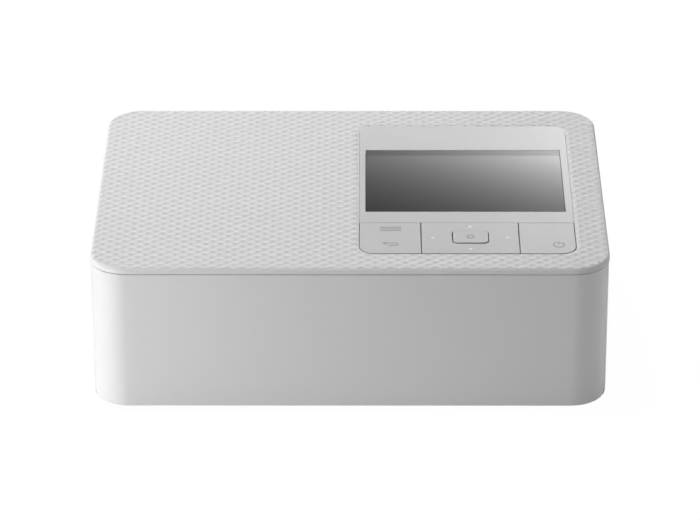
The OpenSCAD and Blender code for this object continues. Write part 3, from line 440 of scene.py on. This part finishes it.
def foam(name):
    """Closed-cell foam of the gasket."""
    paint = Paint(name)
    cells = paint.node("TexVoronoi", sockets={"Vector": paint.where(), "Scale": 1 / (0.4 * MM)})
    return paint.finish(
        Base_Color=paint.blend(cells, tint(24, 24, 25), tint(46, 46, 48)),
        Roughness=0.9 - 0.1 * cells,
        Normal=paint.bump(cells, 0.08 * MM),
    )


def printed(name, colour):
    """Screen-printed mark."""
    paint = Paint(name)
    speckle = paint.noise(0.2 * MM, 2)
    paler = tuple(min(1, c * 1.15) for c in colour[:3]) + (1,)
    return paint.finish(Base_Color=paint.blend(speckle, colour, paler), Roughness=0.45 + 0.1 * speckle)


def dress(material, *names):
    """Gives CAD nodes one material."""
    for name in names:
        mesh = NODES[name].data
        mesh.materials.clear()
        mesh.materials.append(material)


WHITE = tint(228, 228, 228)


def dress_inside():
    """Materials of every piece that is shown as the frame has it."""
    dress(moulded("tray_plastic", tint(206, 207, 208), 0.5), "base_tray")
    dress(rubber("foot_rubber", tint(52, 52, 54)), "rubber_feet")
    dress(moulded("frame_plastic", tint(196, 197, 199), 0.5), "front_frame", "tray_guide", "paper_guide",
          "nav_rocker")
    dress(display_glass("display_glass"), "display_window")
    dress(foam("gasket_foam"), "display_gasket")
    dress(display_face("display_face"), "display_module")
    dress(plated_steel("bright_steel", tint(214, 215, 217)), "display_holder", "card_socket", "data_socket",
          "screws")
    dress(moulded("dome_silicone", tint(188, 188, 184), 0.6), "key_domes")
    dress(circuit_board("circuit_board"), "key_board", "main_board", "power_board")
    dress(striped_film("ribbon_cable"), "flat_cable")
    dress(moulded("connector_black", tint(44, 44, 46), 0.42), "dc_inlet", "battery_contacts")
    dress(moulded("fan_plastic", tint(34, 34, 36), 0.4), "fan_frame", "fan_rotor")
    dress(plated_steel("zinc_steel", tint(190, 194, 200)), "side_plate_left", "side_plate_right",
          "motor_bracket", "head_arm")
    dress(ground_steel("ground_steel", tint(206, 207, 209)), "hinge_pins", "head_pivot_rod", "capstan_roller")
    dress(moulded("acetal", tint(232, 229, 218), 0.34), "capstan_gear", "idler_gear_1", "idler_gear_2",
          "idler_gear_3", "idler_gear_4", "pickup_gear", "take_up_gear", "head_cam", "shaft_bushes")
    dress(ground_steel("motor_can", tint(188, 190, 193), 0.25), "feed_motor", "head_motor")
    dress(ground_steel("brass", tint(206, 168, 92), 0.22), "motor_pinion", "head_pinion")
    dress(rubber("roller_rubber", tint(48, 48, 50), 0.6), "platen_roller", "pickup_roller")
    dress(rubber("pinch_rubber", tint(120, 120, 122), 0.55), "pinch_roller")
    dress(finned_aluminium("sink_aluminium"), "heat_sink")
    dress(glazed_ceramic("head_ceramic"), "thermal_head")
    dress(moulded("cassette_plastic", tint(168, 171, 176), 0.42), "ink_case")
    dress(dye_film("dye_film"), "ink_ribbon")
    for spool in ("supply_spool", "take_up_spool"):
        low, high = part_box(spool)
        dress(dye_roll(spool + "_film", (low + high) / 2), spool)


# ---------------------------------------------------------------- Modelling helpers

NEAR = 0.01 * MM                         # places closer than this count as one
WELD = 0.001 * MM                        # corners closer than this are joined
FLAT_ANGLE = 0.5                         # degrees below which neighbouring faces become one

def deselect():
    """Leaves edit mode and selects nothing."""
    if bpy.context.object and bpy.context.object.mode == "EDIT":
        bpy.ops.object.mode_set(mode="OBJECT")
    bpy.ops.object.select_all(action="DESELECT")


def take(piece):
    """Makes one piece the only one selected."""
    deselect()
    piece.select_set(True)
    bpy.context.view_layer.objects.active = piece


def settle(name):
    """Names a new primitive and moves its place into its mesh."""
    piece = bpy.context.object
    piece.name = name
    piece.data.name = name
    bpy.ops.object.transform_apply(location=True, rotation=True, scale=True)
    return piece


def block(name, low, high):
    """Box between two corners."""
    deselect()
    low, high = Vector(low), Vector(high)
    bpy.ops.mesh.primitive_cube_add(size=1, location=(low + high) / 2, scale=high - low)
    return settle(name)


def rod(name, centre, radius, height, sides=32, turn=(0, 0, 0)):
    """Cylinder, or a prism with few sides, that stands along Z before its turn."""
    deselect()
    bpy.ops.mesh.primitive_cylinder_add(
        vertices=sides, radius=radius, depth=height, location=centre, rotation=turn)
    return settle(name)


def edit(piece, mode="EDGE"):
    """Opens a piece in edit mode with nothing selected."""
    take(piece)
    bpy.ops.object.mode_set(mode="EDIT")
    bpy.ops.mesh.select_mode(type=mode)
    bpy.ops.mesh.select_all(action="DESELECT")
    return bmesh.from_edit_mesh(piece.data)


def pick_edges(piece, wanted):
    """Selects the edges for which wanted(start, end) is true."""
    mesh = edit(piece, "EDGE")
    for edge in mesh.edges:
        if wanted(edge.verts[0].co, edge.verts[1].co):
            edge.select_set(True)
    bmesh.update_edit_mesh(piece.data)


def pick_faces(piece, wanted):
    """Selects the faces for which wanted(centre, normal) is true."""
    mesh = edit(piece, "FACE")
    for face in mesh.faces:
        if wanted(face.calc_center_median(), face.normal):
            face.select_set(True)
    bmesh.update_edit_mesh(piece.data)


def close():
    """Leaves edit mode."""
    bpy.ops.object.mode_set(mode="OBJECT")


def round_edges(piece, wanted, radius, segments):
    """Rounds the edges for which wanted(start, end) is true."""
    pick_edges(piece, wanted)
    bpy.ops.mesh.bevel(offset=radius, segments=segments, profile=0.5, affect="EDGES", clamp_overlap=True)
    close()


def upright(a, b):
    """Whether an edge runs straight up."""
    return abs(a.z - b.z) > 0.2 * MM and (a.xy - b.xy).length < NEAR


def rounded_block(name, low, high, radius, segments=14):
    """Block whose upright edges are rounded."""
    piece = block(name, low, high)
    round_edges(piece, upright, radius, segments)
    return piece


def combine(piece, tool, operation):
    """Cuts, keeps or joins with another closed piece, which is used up."""
    take(piece)
    modifier = piece.modifiers.new("combine", "BOOLEAN")
    modifier.operation = operation
    modifier.solver = "EXACT"
    modifier.object = tool
    bpy.ops.object.modifier_apply(modifier=modifier.name)
    bpy.data.objects.remove(tool)
    return piece


def soften(piece, width, segments=2, angle=35):
    """Rounds every sharp edge of a piece by a small bevel."""
    take(piece)
    modifier = piece.modifiers.new("soften", "BEVEL")
    modifier.width = width
    modifier.segments = segments
    modifier.limit_method = "ANGLE"
    modifier.angle_limit = math.radians(angle)
    modifier.use_clamp_overlap = True
    bpy.ops.object.modifier_apply(modifier=modifier.name)
    return piece


def smooth(piece, angle=30):
    """Smooth shading over the roundings, while the large faces stay flat."""
    take(piece)
    bpy.ops.object.shade_smooth_by_angle(angle=math.radians(angle))
    modifier = piece.modifiers.new("flat_faces", "WEIGHTED_NORMAL")
    modifier.mode = "FACE_AREA"
    modifier.weight = 100
    modifier.keep_sharp = True
    bpy.ops.object.modifier_apply(modifier=modifier.name)
    return piece


def softened_copy(node, name, width, segments=2, angle=35):
    """Copy of a CAD node with its flat faces made whole and its edges rounded."""
    piece = bpy.data.objects.new(name, NODES[node].data.copy())
    piece.data.name = name
    bpy.context.scene.collection.objects.link(piece)
    edit(piece, "VERT")
    bpy.ops.mesh.select_all(action="SELECT")
    bpy.ops.mesh.remove_doubles(threshold=WELD)
    bpy.ops.mesh.dissolve_limited(angle_limit=math.radians(FLAT_ANGLE))
    close()
    soften(piece, width, segments, angle)
    return smooth(piece)


BODY_OF = {node: body for body, nodes in frame["record"]["behaviour"]["bodies"].items() for node in nodes}


def stand_in(piece, node, material):
    """Shows a piece in the place of a CAD node."""
    piece.data.materials.clear()
    piece.data.materials.append(material)
    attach(piece, BODY_OF[node])
    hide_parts(node)
    return piece


def fit_on(piece, node, material):
    """Adds a piece that moves with a CAD node and lies on it."""
    piece.data.materials.clear()
    piece.data.materials.append(material)
    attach(piece, BODY_OF[node])
    return piece


# ---------------------------------------------------------------- Top cover

COVER_LOW, COVER_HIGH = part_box("top_cover")
FLAT_Z = COVER_HIGH.z - 0.18 * MM        # cover's flat rim, just below its solid's top
RELIEF = 0.465 * MM                      # height of the pattern's crests above it
SEAM_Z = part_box("ok_key")[1].z - 2.47 * MM
CORNER_R = 13.2 * MM
EDGE_R = 1.05 * MM                       # rounding round the cover's top edge
CORNER_SIDES = 20                        # faces of a corner
EDGE_SIDES = 12                          # and of that rounding
COVER_SMOOTH = 31                        # degrees up to which the cover's faces are shaded as one
WALL_IN = 2.7 * MM                       # from the cover's side to the lip inside the walls
LIP_T = 1.5 * MM
LIP_SHORTER = 0.2 * MM                   # height of the lip's lower edge above the solid's
LIP_OVERLAP = 0.3 * MM                   # of the lip with the cover above it

KEY_GAP = 0.3 * MM                       # round the keys, between the solids
KEY_SLIT = 0.1 * MM                      # in front of and behind the dressed keys
SET_KEY_MORE = 0.15 * MM                 # by which the dressed set key reaches further forward
PLATE_MORE = 0.12 * MM                   # by which the dressed plate is wider at each side
KEY_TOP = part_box("menu_key")[1].z
FLANGE_W = 2 * MM
PANEL_R = 5.6 * MM
OPENING_R = 0.28 * MM                    # rounding round the panel's opening
PANEL_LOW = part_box("menu_key")[0].xy - Vector((KEY_GAP, KEY_GAP))
PANEL_HIGH = Vector((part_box("power_key")[1].x + KEY_GAP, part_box("panel_plate")[1].y - FLANGE_W))

CELL_W = 5.18 * MM                       # pattern's pitch across the cover
CELL_L = 4.10 * MM                       # and from front to back
CELL_START = Vector((-92.0, -67.0)) * MM
CELLS_ACROSS = 37
CELLS_ALONG = 34
FIRST_CUT = 0.3                          # pitches from the first cell's middle to the field's near sides
LAST_CUT = 0.8                           # and from its far sides to the end of the last pitch
CELL_WELD = 0.002 * MM                   # corners of neighbouring cells closer than this are joined
VALLEY = 0.28 * MM                       # half the width of the groove between two cells
SLOPE = 0.95 * MM                        # width of a cell's steep sides
STEEP_SHARE = 0.94                       # of a cell's rise that its steep sides take
LOW_SHARE = 0.02                         # of its rise at the foot of those sides
PEAK_SHARE = 0.04                        # of its rise at its middle
FOOT = 0.02 * MM                         # height of the grooves above the flat rim
OVERLAP = 0.05 * MM                      # of shapes that cut or join each other
EDGE_STRIP = 0.6 * MM                    # plain strip round the cover's edge
PANEL_STRIP = 0.3 * MM                   # and round the panel
FADE = 1.3 * MM                          # width over which the pattern sinks into the cover at its edge
PANEL_FADE = 0.9 * MM                    # and beside the panel
SUNK = 0.1 * MM                          # depth of the pattern's underside in the cover


def higher(point, height):
    """Point of a plan, at a height."""
    return Vector((point[0], point[1], height))


def pattern_cells():
    """Closed slab whose top is a field of low four-sided pillows in staggered rows."""
    deselect()
    bpy.ops.mesh.primitive_circle_add(vertices=4, radius=1, fill_type="NGON")
    field = settle("pattern_cells")
    edit(field, "FACE")
    bpy.ops.mesh.select_all(action="SELECT")
    bpy.ops.transform.resize(value=(CELL_W / 2, CELL_L / 2, 1))
    bpy.ops.transform.translate(value=higher(CELL_START, FLAT_Z + FOOT))
    rise = RELIEF - FOOT
    bpy.ops.mesh.inset(thickness=VALLEY, depth=LOW_SHARE * rise)
    bpy.ops.mesh.inset(thickness=SLOPE, depth=STEEP_SHARE * rise)
    bpy.ops.mesh.poke(offset=PEAK_SHARE * rise)
    bpy.ops.mesh.select_all(action="SELECT")
    bpy.ops.mesh.duplicate()
    bpy.ops.transform.translate(value=(CELL_W / 2, CELL_L / 2, 0))
    close()
    for count, step in ((CELLS_ACROSS, (CELL_W, 0, 0)), (CELLS_ALONG, (0, CELL_L, 0))):
        take(field)
        row = field.modifiers.new("row", "ARRAY")
        row.count = count
        row.use_relative_offset = False
        row.use_constant_offset = True
        row.constant_offset_displace = step
        bpy.ops.object.modifier_apply(modifier=row.name)
    edit(field, "VERT")
    bpy.ops.mesh.select_all(action="SELECT")
    bpy.ops.mesh.remove_doubles(threshold=CELL_WELD)
    # Straight sides, cut inside the outermost cells
    low = CELL_START + Vector((FIRST_CUT * CELL_W, FIRST_CUT * CELL_L))
    high = CELL_START + Vector(((CELLS_ACROSS - LAST_CUT) * CELL_W, (CELLS_ALONG - LAST_CUT) * CELL_L))
    for point, normal in ((low, (-1, 0, 0)), (low, (0, -1, 0)), (high, (1, 0, 0)), (high, (0, 1, 0))):
        bpy.ops.mesh.select_all(action="SELECT")
        bpy.ops.mesh.bisect(plane_co=higher(point, 0), plane_no=normal, clear_outer=True)
    bpy.ops.mesh.select_all(action="SELECT")
    bpy.ops.mesh.duplicate()
    bpy.ops.transform.resize(value=(1, 1, 0), center_override=(0, 0, FLAT_Z - SUNK))
    bpy.ops.mesh.flip_normals()
    bpy.ops.mesh.select_all(action="DESELECT")
    bpy.ops.mesh.select_non_manifold(extend=False, use_wire=False, use_multi_face=False,
                                     use_non_contiguous=False, use_verts=False)
    bpy.ops.mesh.bridge_edge_loops()
    close()
    return field


def pattern_region():
    """Low plateau over the part of the cover that carries the pattern, with shallow slopes at its edges."""
    crest = FLAT_Z + RELIEF + FOOT
    bottom = FLAT_Z - SUNK - OVERLAP
    stretch = FADE / (crest - FLAT_Z)
    strip = Vector((EDGE_STRIP, EDGE_STRIP))
    top = bottom + stretch * (crest - bottom)
    region = rounded_block("region", higher(COVER_LOW.xy + strip, bottom), higher(COVER_HIGH.xy - strip, top),
                           CORNER_R - EDGE_STRIP)
    round_edges(region, lambda a, b: min(a.z, b.z) > crest, FADE, 1)
    edit(region, "FACE")
    bpy.ops.mesh.select_all(action="SELECT")
    bpy.ops.transform.resize(value=(1, 1, 1 / stretch), center_override=(0, 0, bottom))
    close()
    strip = Vector((PANEL_STRIP, PANEL_STRIP))
    low, high = PANEL_LOW - strip, PANEL_HIGH + strip
    hole = rounded_block("hole", higher(low, bottom), higher(high, crest), PANEL_R + PANEL_STRIP)
    pick_faces(hole, lambda centre, normal: normal.z > 0.5)
    span = high - low
    bpy.ops.transform.resize(value=(1 + 2 * PANEL_FADE / span.x, 1 + 2 * PANEL_FADE / span.y, 1))
    for up in (OVERLAP, -OVERLAP):
        bpy.ops.mesh.select_all(action="DESELECT")
        close()
        pick_faces(hole, lambda centre, normal: normal.z * up > 0.4 * OVERLAP)
        bpy.ops.transform.translate(value=(0, 0, up))
    close()
    return combine(region, hole, "DIFFERENCE")


def at_rim(a, b):
    """Whether an edge lies in the cover's flat rim."""
    return min(a.z, b.z) > FLAT_Z - NEAR


def top_cover(material):
    """Cover with its soft edge, the panel's rounded opening, the raised pattern and the lip below."""
    cover = rounded_block("cover_shell", higher(COVER_LOW, SEAM_Z), higher(COVER_HIGH, FLAT_Z), CORNER_R,
                          CORNER_SIDES)
    round_edges(cover, at_rim, EDGE_R, EDGE_SIDES)
    opening = rounded_block("opening", higher(PANEL_LOW, SEAM_Z - MM), higher(PANEL_HIGH, FLAT_Z + MM),
                            PANEL_R)
    combine(cover, opening, "DIFFERENCE")
    inside = Vector((PANEL_R, PANEL_R)) / 10
    low, high = PANEL_LOW - inside, PANEL_HIGH + inside
    round_edges(cover, lambda a, b: at_rim(a, b) and all(
        low.x < p.x < high.x and low.y < p.y < high.y for p in (a, b)), OPENING_R, 3)
    field = combine(pattern_cells(), pattern_region(), "INTERSECT")
    combine(cover, field, "UNION")
    lip_low = Vector((COVER_LOW.x + WALL_IN, COVER_LOW.y + WALL_IN, COVER_LOW.z + LIP_SHORTER))
    lip_high = Vector((COVER_HIGH.x - WALL_IN, COVER_HIGH.y - WALL_IN, SEAM_Z + LIP_OVERLAP))
    inner = Vector((LIP_T, LIP_T, 0))
    lip = rounded_block("lip", lip_low, lip_high, CORNER_R - WALL_IN)
    beyond = Vector((0, 0, MM))
    space = rounded_block("space", lip_low + inner - beyond, lip_high - inner + beyond,
                          CORNER_R - WALL_IN - LIP_T)
    combine(lip, space, "DIFFERENCE")
    combine(cover, lip, "UNION")
    smooth(cover, COVER_SMOOTH)
    return stand_in(cover, "top_cover", material)


# ---------------------------------------------------------------- Walls, panel and keys

SHELL_EDGE = 0.1 * MM                    # rounding of the edges of the walls and covers
PLATE_EDGE = 0.1 * MM                    # of the panel's plate
KEY_EDGE = 0.12 * MM                     # of the keys
SET_KEY_EDGE = 0.25 * MM                 # and of the set key


def outer_shells(material):
    """Walls and both covers of the body, with their edges taken off."""
    for node, name in (("body_shell", "wall_shell"), ("front_cover", "front_door_shell"),
                       ("side_cover", "side_door_shell")):
        stand_in(softened_copy(node, name, SHELL_EDGE), node, material)


def stretch(piece, node, low_side, high_side):
    """Scales the copy of a node so that its box grows by these lengths at its low and its high sides."""
    low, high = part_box(node)
    low_side, high_side = Vector(low_side), Vector(high_side)
    edit(piece, "VERT")
    bpy.ops.mesh.select_all(action="SELECT")
    size = high - low
    factor = [1 + (low_side[i] + high_side[i]) / size[i] for i in range(3)]
    bpy.ops.transform.resize(value=factor, center_override=low)
    bpy.ops.transform.translate(value=-low_side)
    close()


def panel_and_keys(material):
    """The panel's plate and keys, with narrower slits round them than between the solids."""
    slit = KEY_GAP - KEY_SLIT
    for node, name, width, low_side, high_side in (
            ("panel_plate", "panel_face", PLATE_EDGE, (PLATE_MORE, 0, 0), (PLATE_MORE, 0, 0)),
            ("menu_key", "menu_key_cap", KEY_EDGE, (slit / 2, slit, 0), (0, slit, 0)),
            ("nav_key", "four_way_key_cap", KEY_EDGE, (0, slit, 0), (0, slit, 0)),
            ("ok_key", "set_key_cap", SET_KEY_EDGE, (0, SET_KEY_MORE, 0), (0, 0, -INK)),
            ("power_key", "power_key_cap", KEY_EDGE, (0, slit, 0), (0, slit, 0))):
        piece = softened_copy(node, name, width)
        stretch(piece, node, low_side, high_side)
        stand_in(piece, node, material)


# ---------------------------------------------------------------- Marks on the keys

INK = 0.03 * MM                          # thickness of a printed mark
STROKE = 0.55 * MM                       # width of its lines


def bar(name, centre, size, under):
    """Flat printed bar on a face whose height is under."""
    half = Vector(size) / 2
    return block(name, higher(Vector(centre) - half, under), higher(Vector(centre) + half, under + INK))


def ring(name, centre, radius, under):
    """Flat printed ring; radius is that of its middle."""
    outer = rod(name, higher(Vector(centre), under + INK / 2), radius + STROKE / 2, INK, 40)
    hole = rod("hole", higher(Vector(centre), under + INK / 2), radius - STROKE / 2, 3 * INK, 40)
    return combine(outer, hole, "DIFFERENCE")


def arrowhead(name, centre, radius, angle, under):
    """Flat printed triangle that points along an angle from the X axis."""
    return rod(name, higher(Vector(centre), under + INK / 2), radius, INK, 3,
               (0, 0, math.radians(angle - 90)))


def menu_mark(ink):
    """Three bars on the menu half of the left key."""
    middle = Vector((14.45, -35.0)) * MM
    for number, name in enumerate(("menu_bar_front", "menu_bar_middle", "menu_bar_back")):
        piece = bar(name, middle + Vector((0, (number - 1) * 1.35 * MM)), (7.5 * MM, 0.6 * MM), KEY_TOP)
        fit_on(piece, "menu_key", ink)


def back_mark(ink):
    """Arrow that turns back, on the other half of the left key."""
    middle = Vector((14.6, -47.3)) * MM
    bend = 0.95 * MM
    for name, side, length in (("back_arrow_shaft", 1, 3.6 * MM), ("back_arrow_tail", -1, 2.4 * MM)):
        place = middle + Vector((1.3 * MM - length / 2, side * bend))
        fit_on(bar(name, place, (length, STROKE), KEY_TOP), "menu_key", ink)
    turn = ring("back_arrow_bend", middle + Vector((1.3 * MM, 0)), bend, KEY_TOP)
    away = block("away", higher(middle + Vector((-2 * MM, -2 * MM)), KEY_TOP - MM),
                 higher(middle + Vector((1.3 * MM, 2 * MM)), KEY_TOP + MM))
    fit_on(combine(turn, away, "DIFFERENCE"), "menu_key", ink)
    head = arrowhead("back_arrow_head", middle + Vector((-2.2 * MM, bend)), 1.15 * MM, 180, KEY_TOP)
    fit_on(head, "menu_key", ink)


def power_mark(ink):
    """Open ring with a short bar in its gap."""
    middle = Vector((73.5, -47.6)) * MM
    circle = ring("power_ring", middle, 1.9 * MM, KEY_TOP)
    gap = Vector((0.65, 0)) * MM
    far = middle + gap + Vector((0, 4 * MM))
    away = block("away", higher(middle - gap, KEY_TOP - MM), higher(far, KEY_TOP + MM))
    fit_on(combine(circle, away, "DIFFERENCE"), "power_key", ink)
    fit_on(bar("power_bar", middle + Vector((0, 1.45 * MM)), (STROKE, 2.1 * MM), KEY_TOP), "power_key", ink)


def four_way_marks(pale_ink, ink):
    """Pale pointers round the four-way key, and the ring on the key at its middle."""
    for name, x, y, angle in (("pointer_left", 29.25, -42.2, 180), ("pointer_back", 42.6, -33.4, 90),
                              ("pointer_right", 55.65, -42.0, 0), ("pointer_front", 42.4, -50.9, -90)):
        fit_on(arrowhead(name, Vector((x, y)) * MM, 0.95 * MM, angle, KEY_TOP), "nav_key", pale_ink)
    low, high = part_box("ok_key")
    fit_on(ring("set_ring", (low + high).xy / 2, 1.15 * MM, high.z - INK), "ok_key", ink)


# ---------------------------------------------------------------- The scene

FLOOR_SIZE = 12
FLOOR_WHITE = grey(0.85)
FLOOR_GLOW = 1.05                        # strength of the white that the camera and the glossy faces see
FLOOR_SHARE = 0.93                       # its share in them; the rest is the lit floor with its shadow
AMBIENT = 0.062


def make_stage():
    """White floor that keeps a soft shadow, and a world that is white behind the object."""
    bpy.context.scene.view_settings.view_transform = "Standard"
    deselect()
    bpy.ops.mesh.primitive_plane_add(size=FLOOR_SIZE, location=(0, 0, 0))
    floor = settle("floor")
    paint = Paint("floor_white")
    rays = paint.node("LightPath")
    names = ("Is Camera Ray", "Is Glossy Ray", "Is Transmission Ray")
    seen = [Signal(paint, rays.socket.node.outputs[name]) for name in names]
    lit = paint.finish(Base_Color=FLOOR_WHITE, Roughness=0.9)
    glow = paint.node("Emission", sockets={"Color": grey(1), "Strength": FLOOR_GLOW})
    share = seen[0].larger(seen[1]).larger(seen[2]) * FLOOR_SHARE
    mixed = paint.node("MixShader", sockets={0: share, 2: glow})
    paint.tree.links.new(paint.shader.outputs[0], mixed.socket.node.inputs[1])
    paint.tree.links.new(mixed.socket, paint.output.inputs["Surface"])
    floor.data.materials.append(lit)

    world = bpy.data.worlds.new("studio")
    bpy.context.scene.world = world
    world.use_nodes = True
    nodes, links = world.node_tree.nodes, world.node_tree.links
    rays = nodes.new("ShaderNodeLightPath")
    white = nodes.new("ShaderNodeBackground")
    white.inputs["Color"].default_value = grey(1)
    mixed = nodes.new("ShaderNodeMixShader")
    ambient = nodes["Background"]
    ambient.inputs["Color"].default_value = grey(1)
    ambient.inputs["Strength"].default_value = AMBIENT
    links.new(rays.outputs["Is Camera Ray"], mixed.inputs[0])
    links.new(ambient.outputs[0], mixed.inputs[1])
    links.new(white.outputs[0], mixed.inputs[2])
    links.new(mixed.outputs[0], nodes["World Output"].inputs["Surface"])


CARD_Y = 350 * MM
CARD_X = (-220 * MM, 220 * MM)
CARD_Z = (165 * MM, 340 * MM)
CARD_LEVEL = 0.36                        # strength where the exponent below is zero
CARD_START_Z = 238 * MM                  # height from which the exponent counts its depth
CARD_RANGE = 26.5 * MM                   # depth at which it stops growing
CARD_GROWTH = 47.0                       # exponent's growth for each metre down
CARD_SLANT = 15.8                        # and for each metre to the right
CARD_OFFSET = 0.11
CARD_CAP = 3.2                           # largest exponent


def make_card():
    """Upright card that only the object's glossy faces see: dark at the top left, bright low right."""
    card = block("reflection_card", (CARD_X[0], CARD_Y, CARD_Z[0]), (CARD_X[1], CARD_Y + MM, CARD_Z[1]))
    paint = Paint("card_glow")
    depth = CARD_START_Z - paint.axis("Z")
    rise = paint.axis("X") * CARD_SLANT + depth.smaller(CARD_RANGE) * CARD_GROWTH - CARD_OFFSET
    strength = paint.maths("EXPONENT", rise.smaller(CARD_CAP)) * CARD_LEVEL
    glow = paint.node("Emission", sockets={"Color": grey(1), "Strength": strength})
    paint.tree.links.new(glow.socket, paint.output.inputs["Surface"])
    card.data.materials.append(paint.material)
    card.visible_camera = False
    card.visible_diffuse = False
    card.visible_shadow = False
    card.visible_transmission = False


make_camera()
make_stage()
make_card()
make_lamps()
dress_inside()
shell_white = moulded("shell_white", WHITE, 0.46)
panel_white = moulded("panel_white", tint(200, 200, 200), 0.26, grain=0.18 * MM, depth=0.002 * MM, shine=0.38)
top_cover(moulded("cover_white", WHITE, 0.6, shine=0.15))
outer_shells(shell_white)
panel_and_keys(panel_white)
ink = printed("key_ink", tint(140, 140, 140))
menu_mark(ink)
back_mark(ink)
power_mark(ink)
four_way_marks(printed("pale_ink", tint(222, 222, 222)), ink)
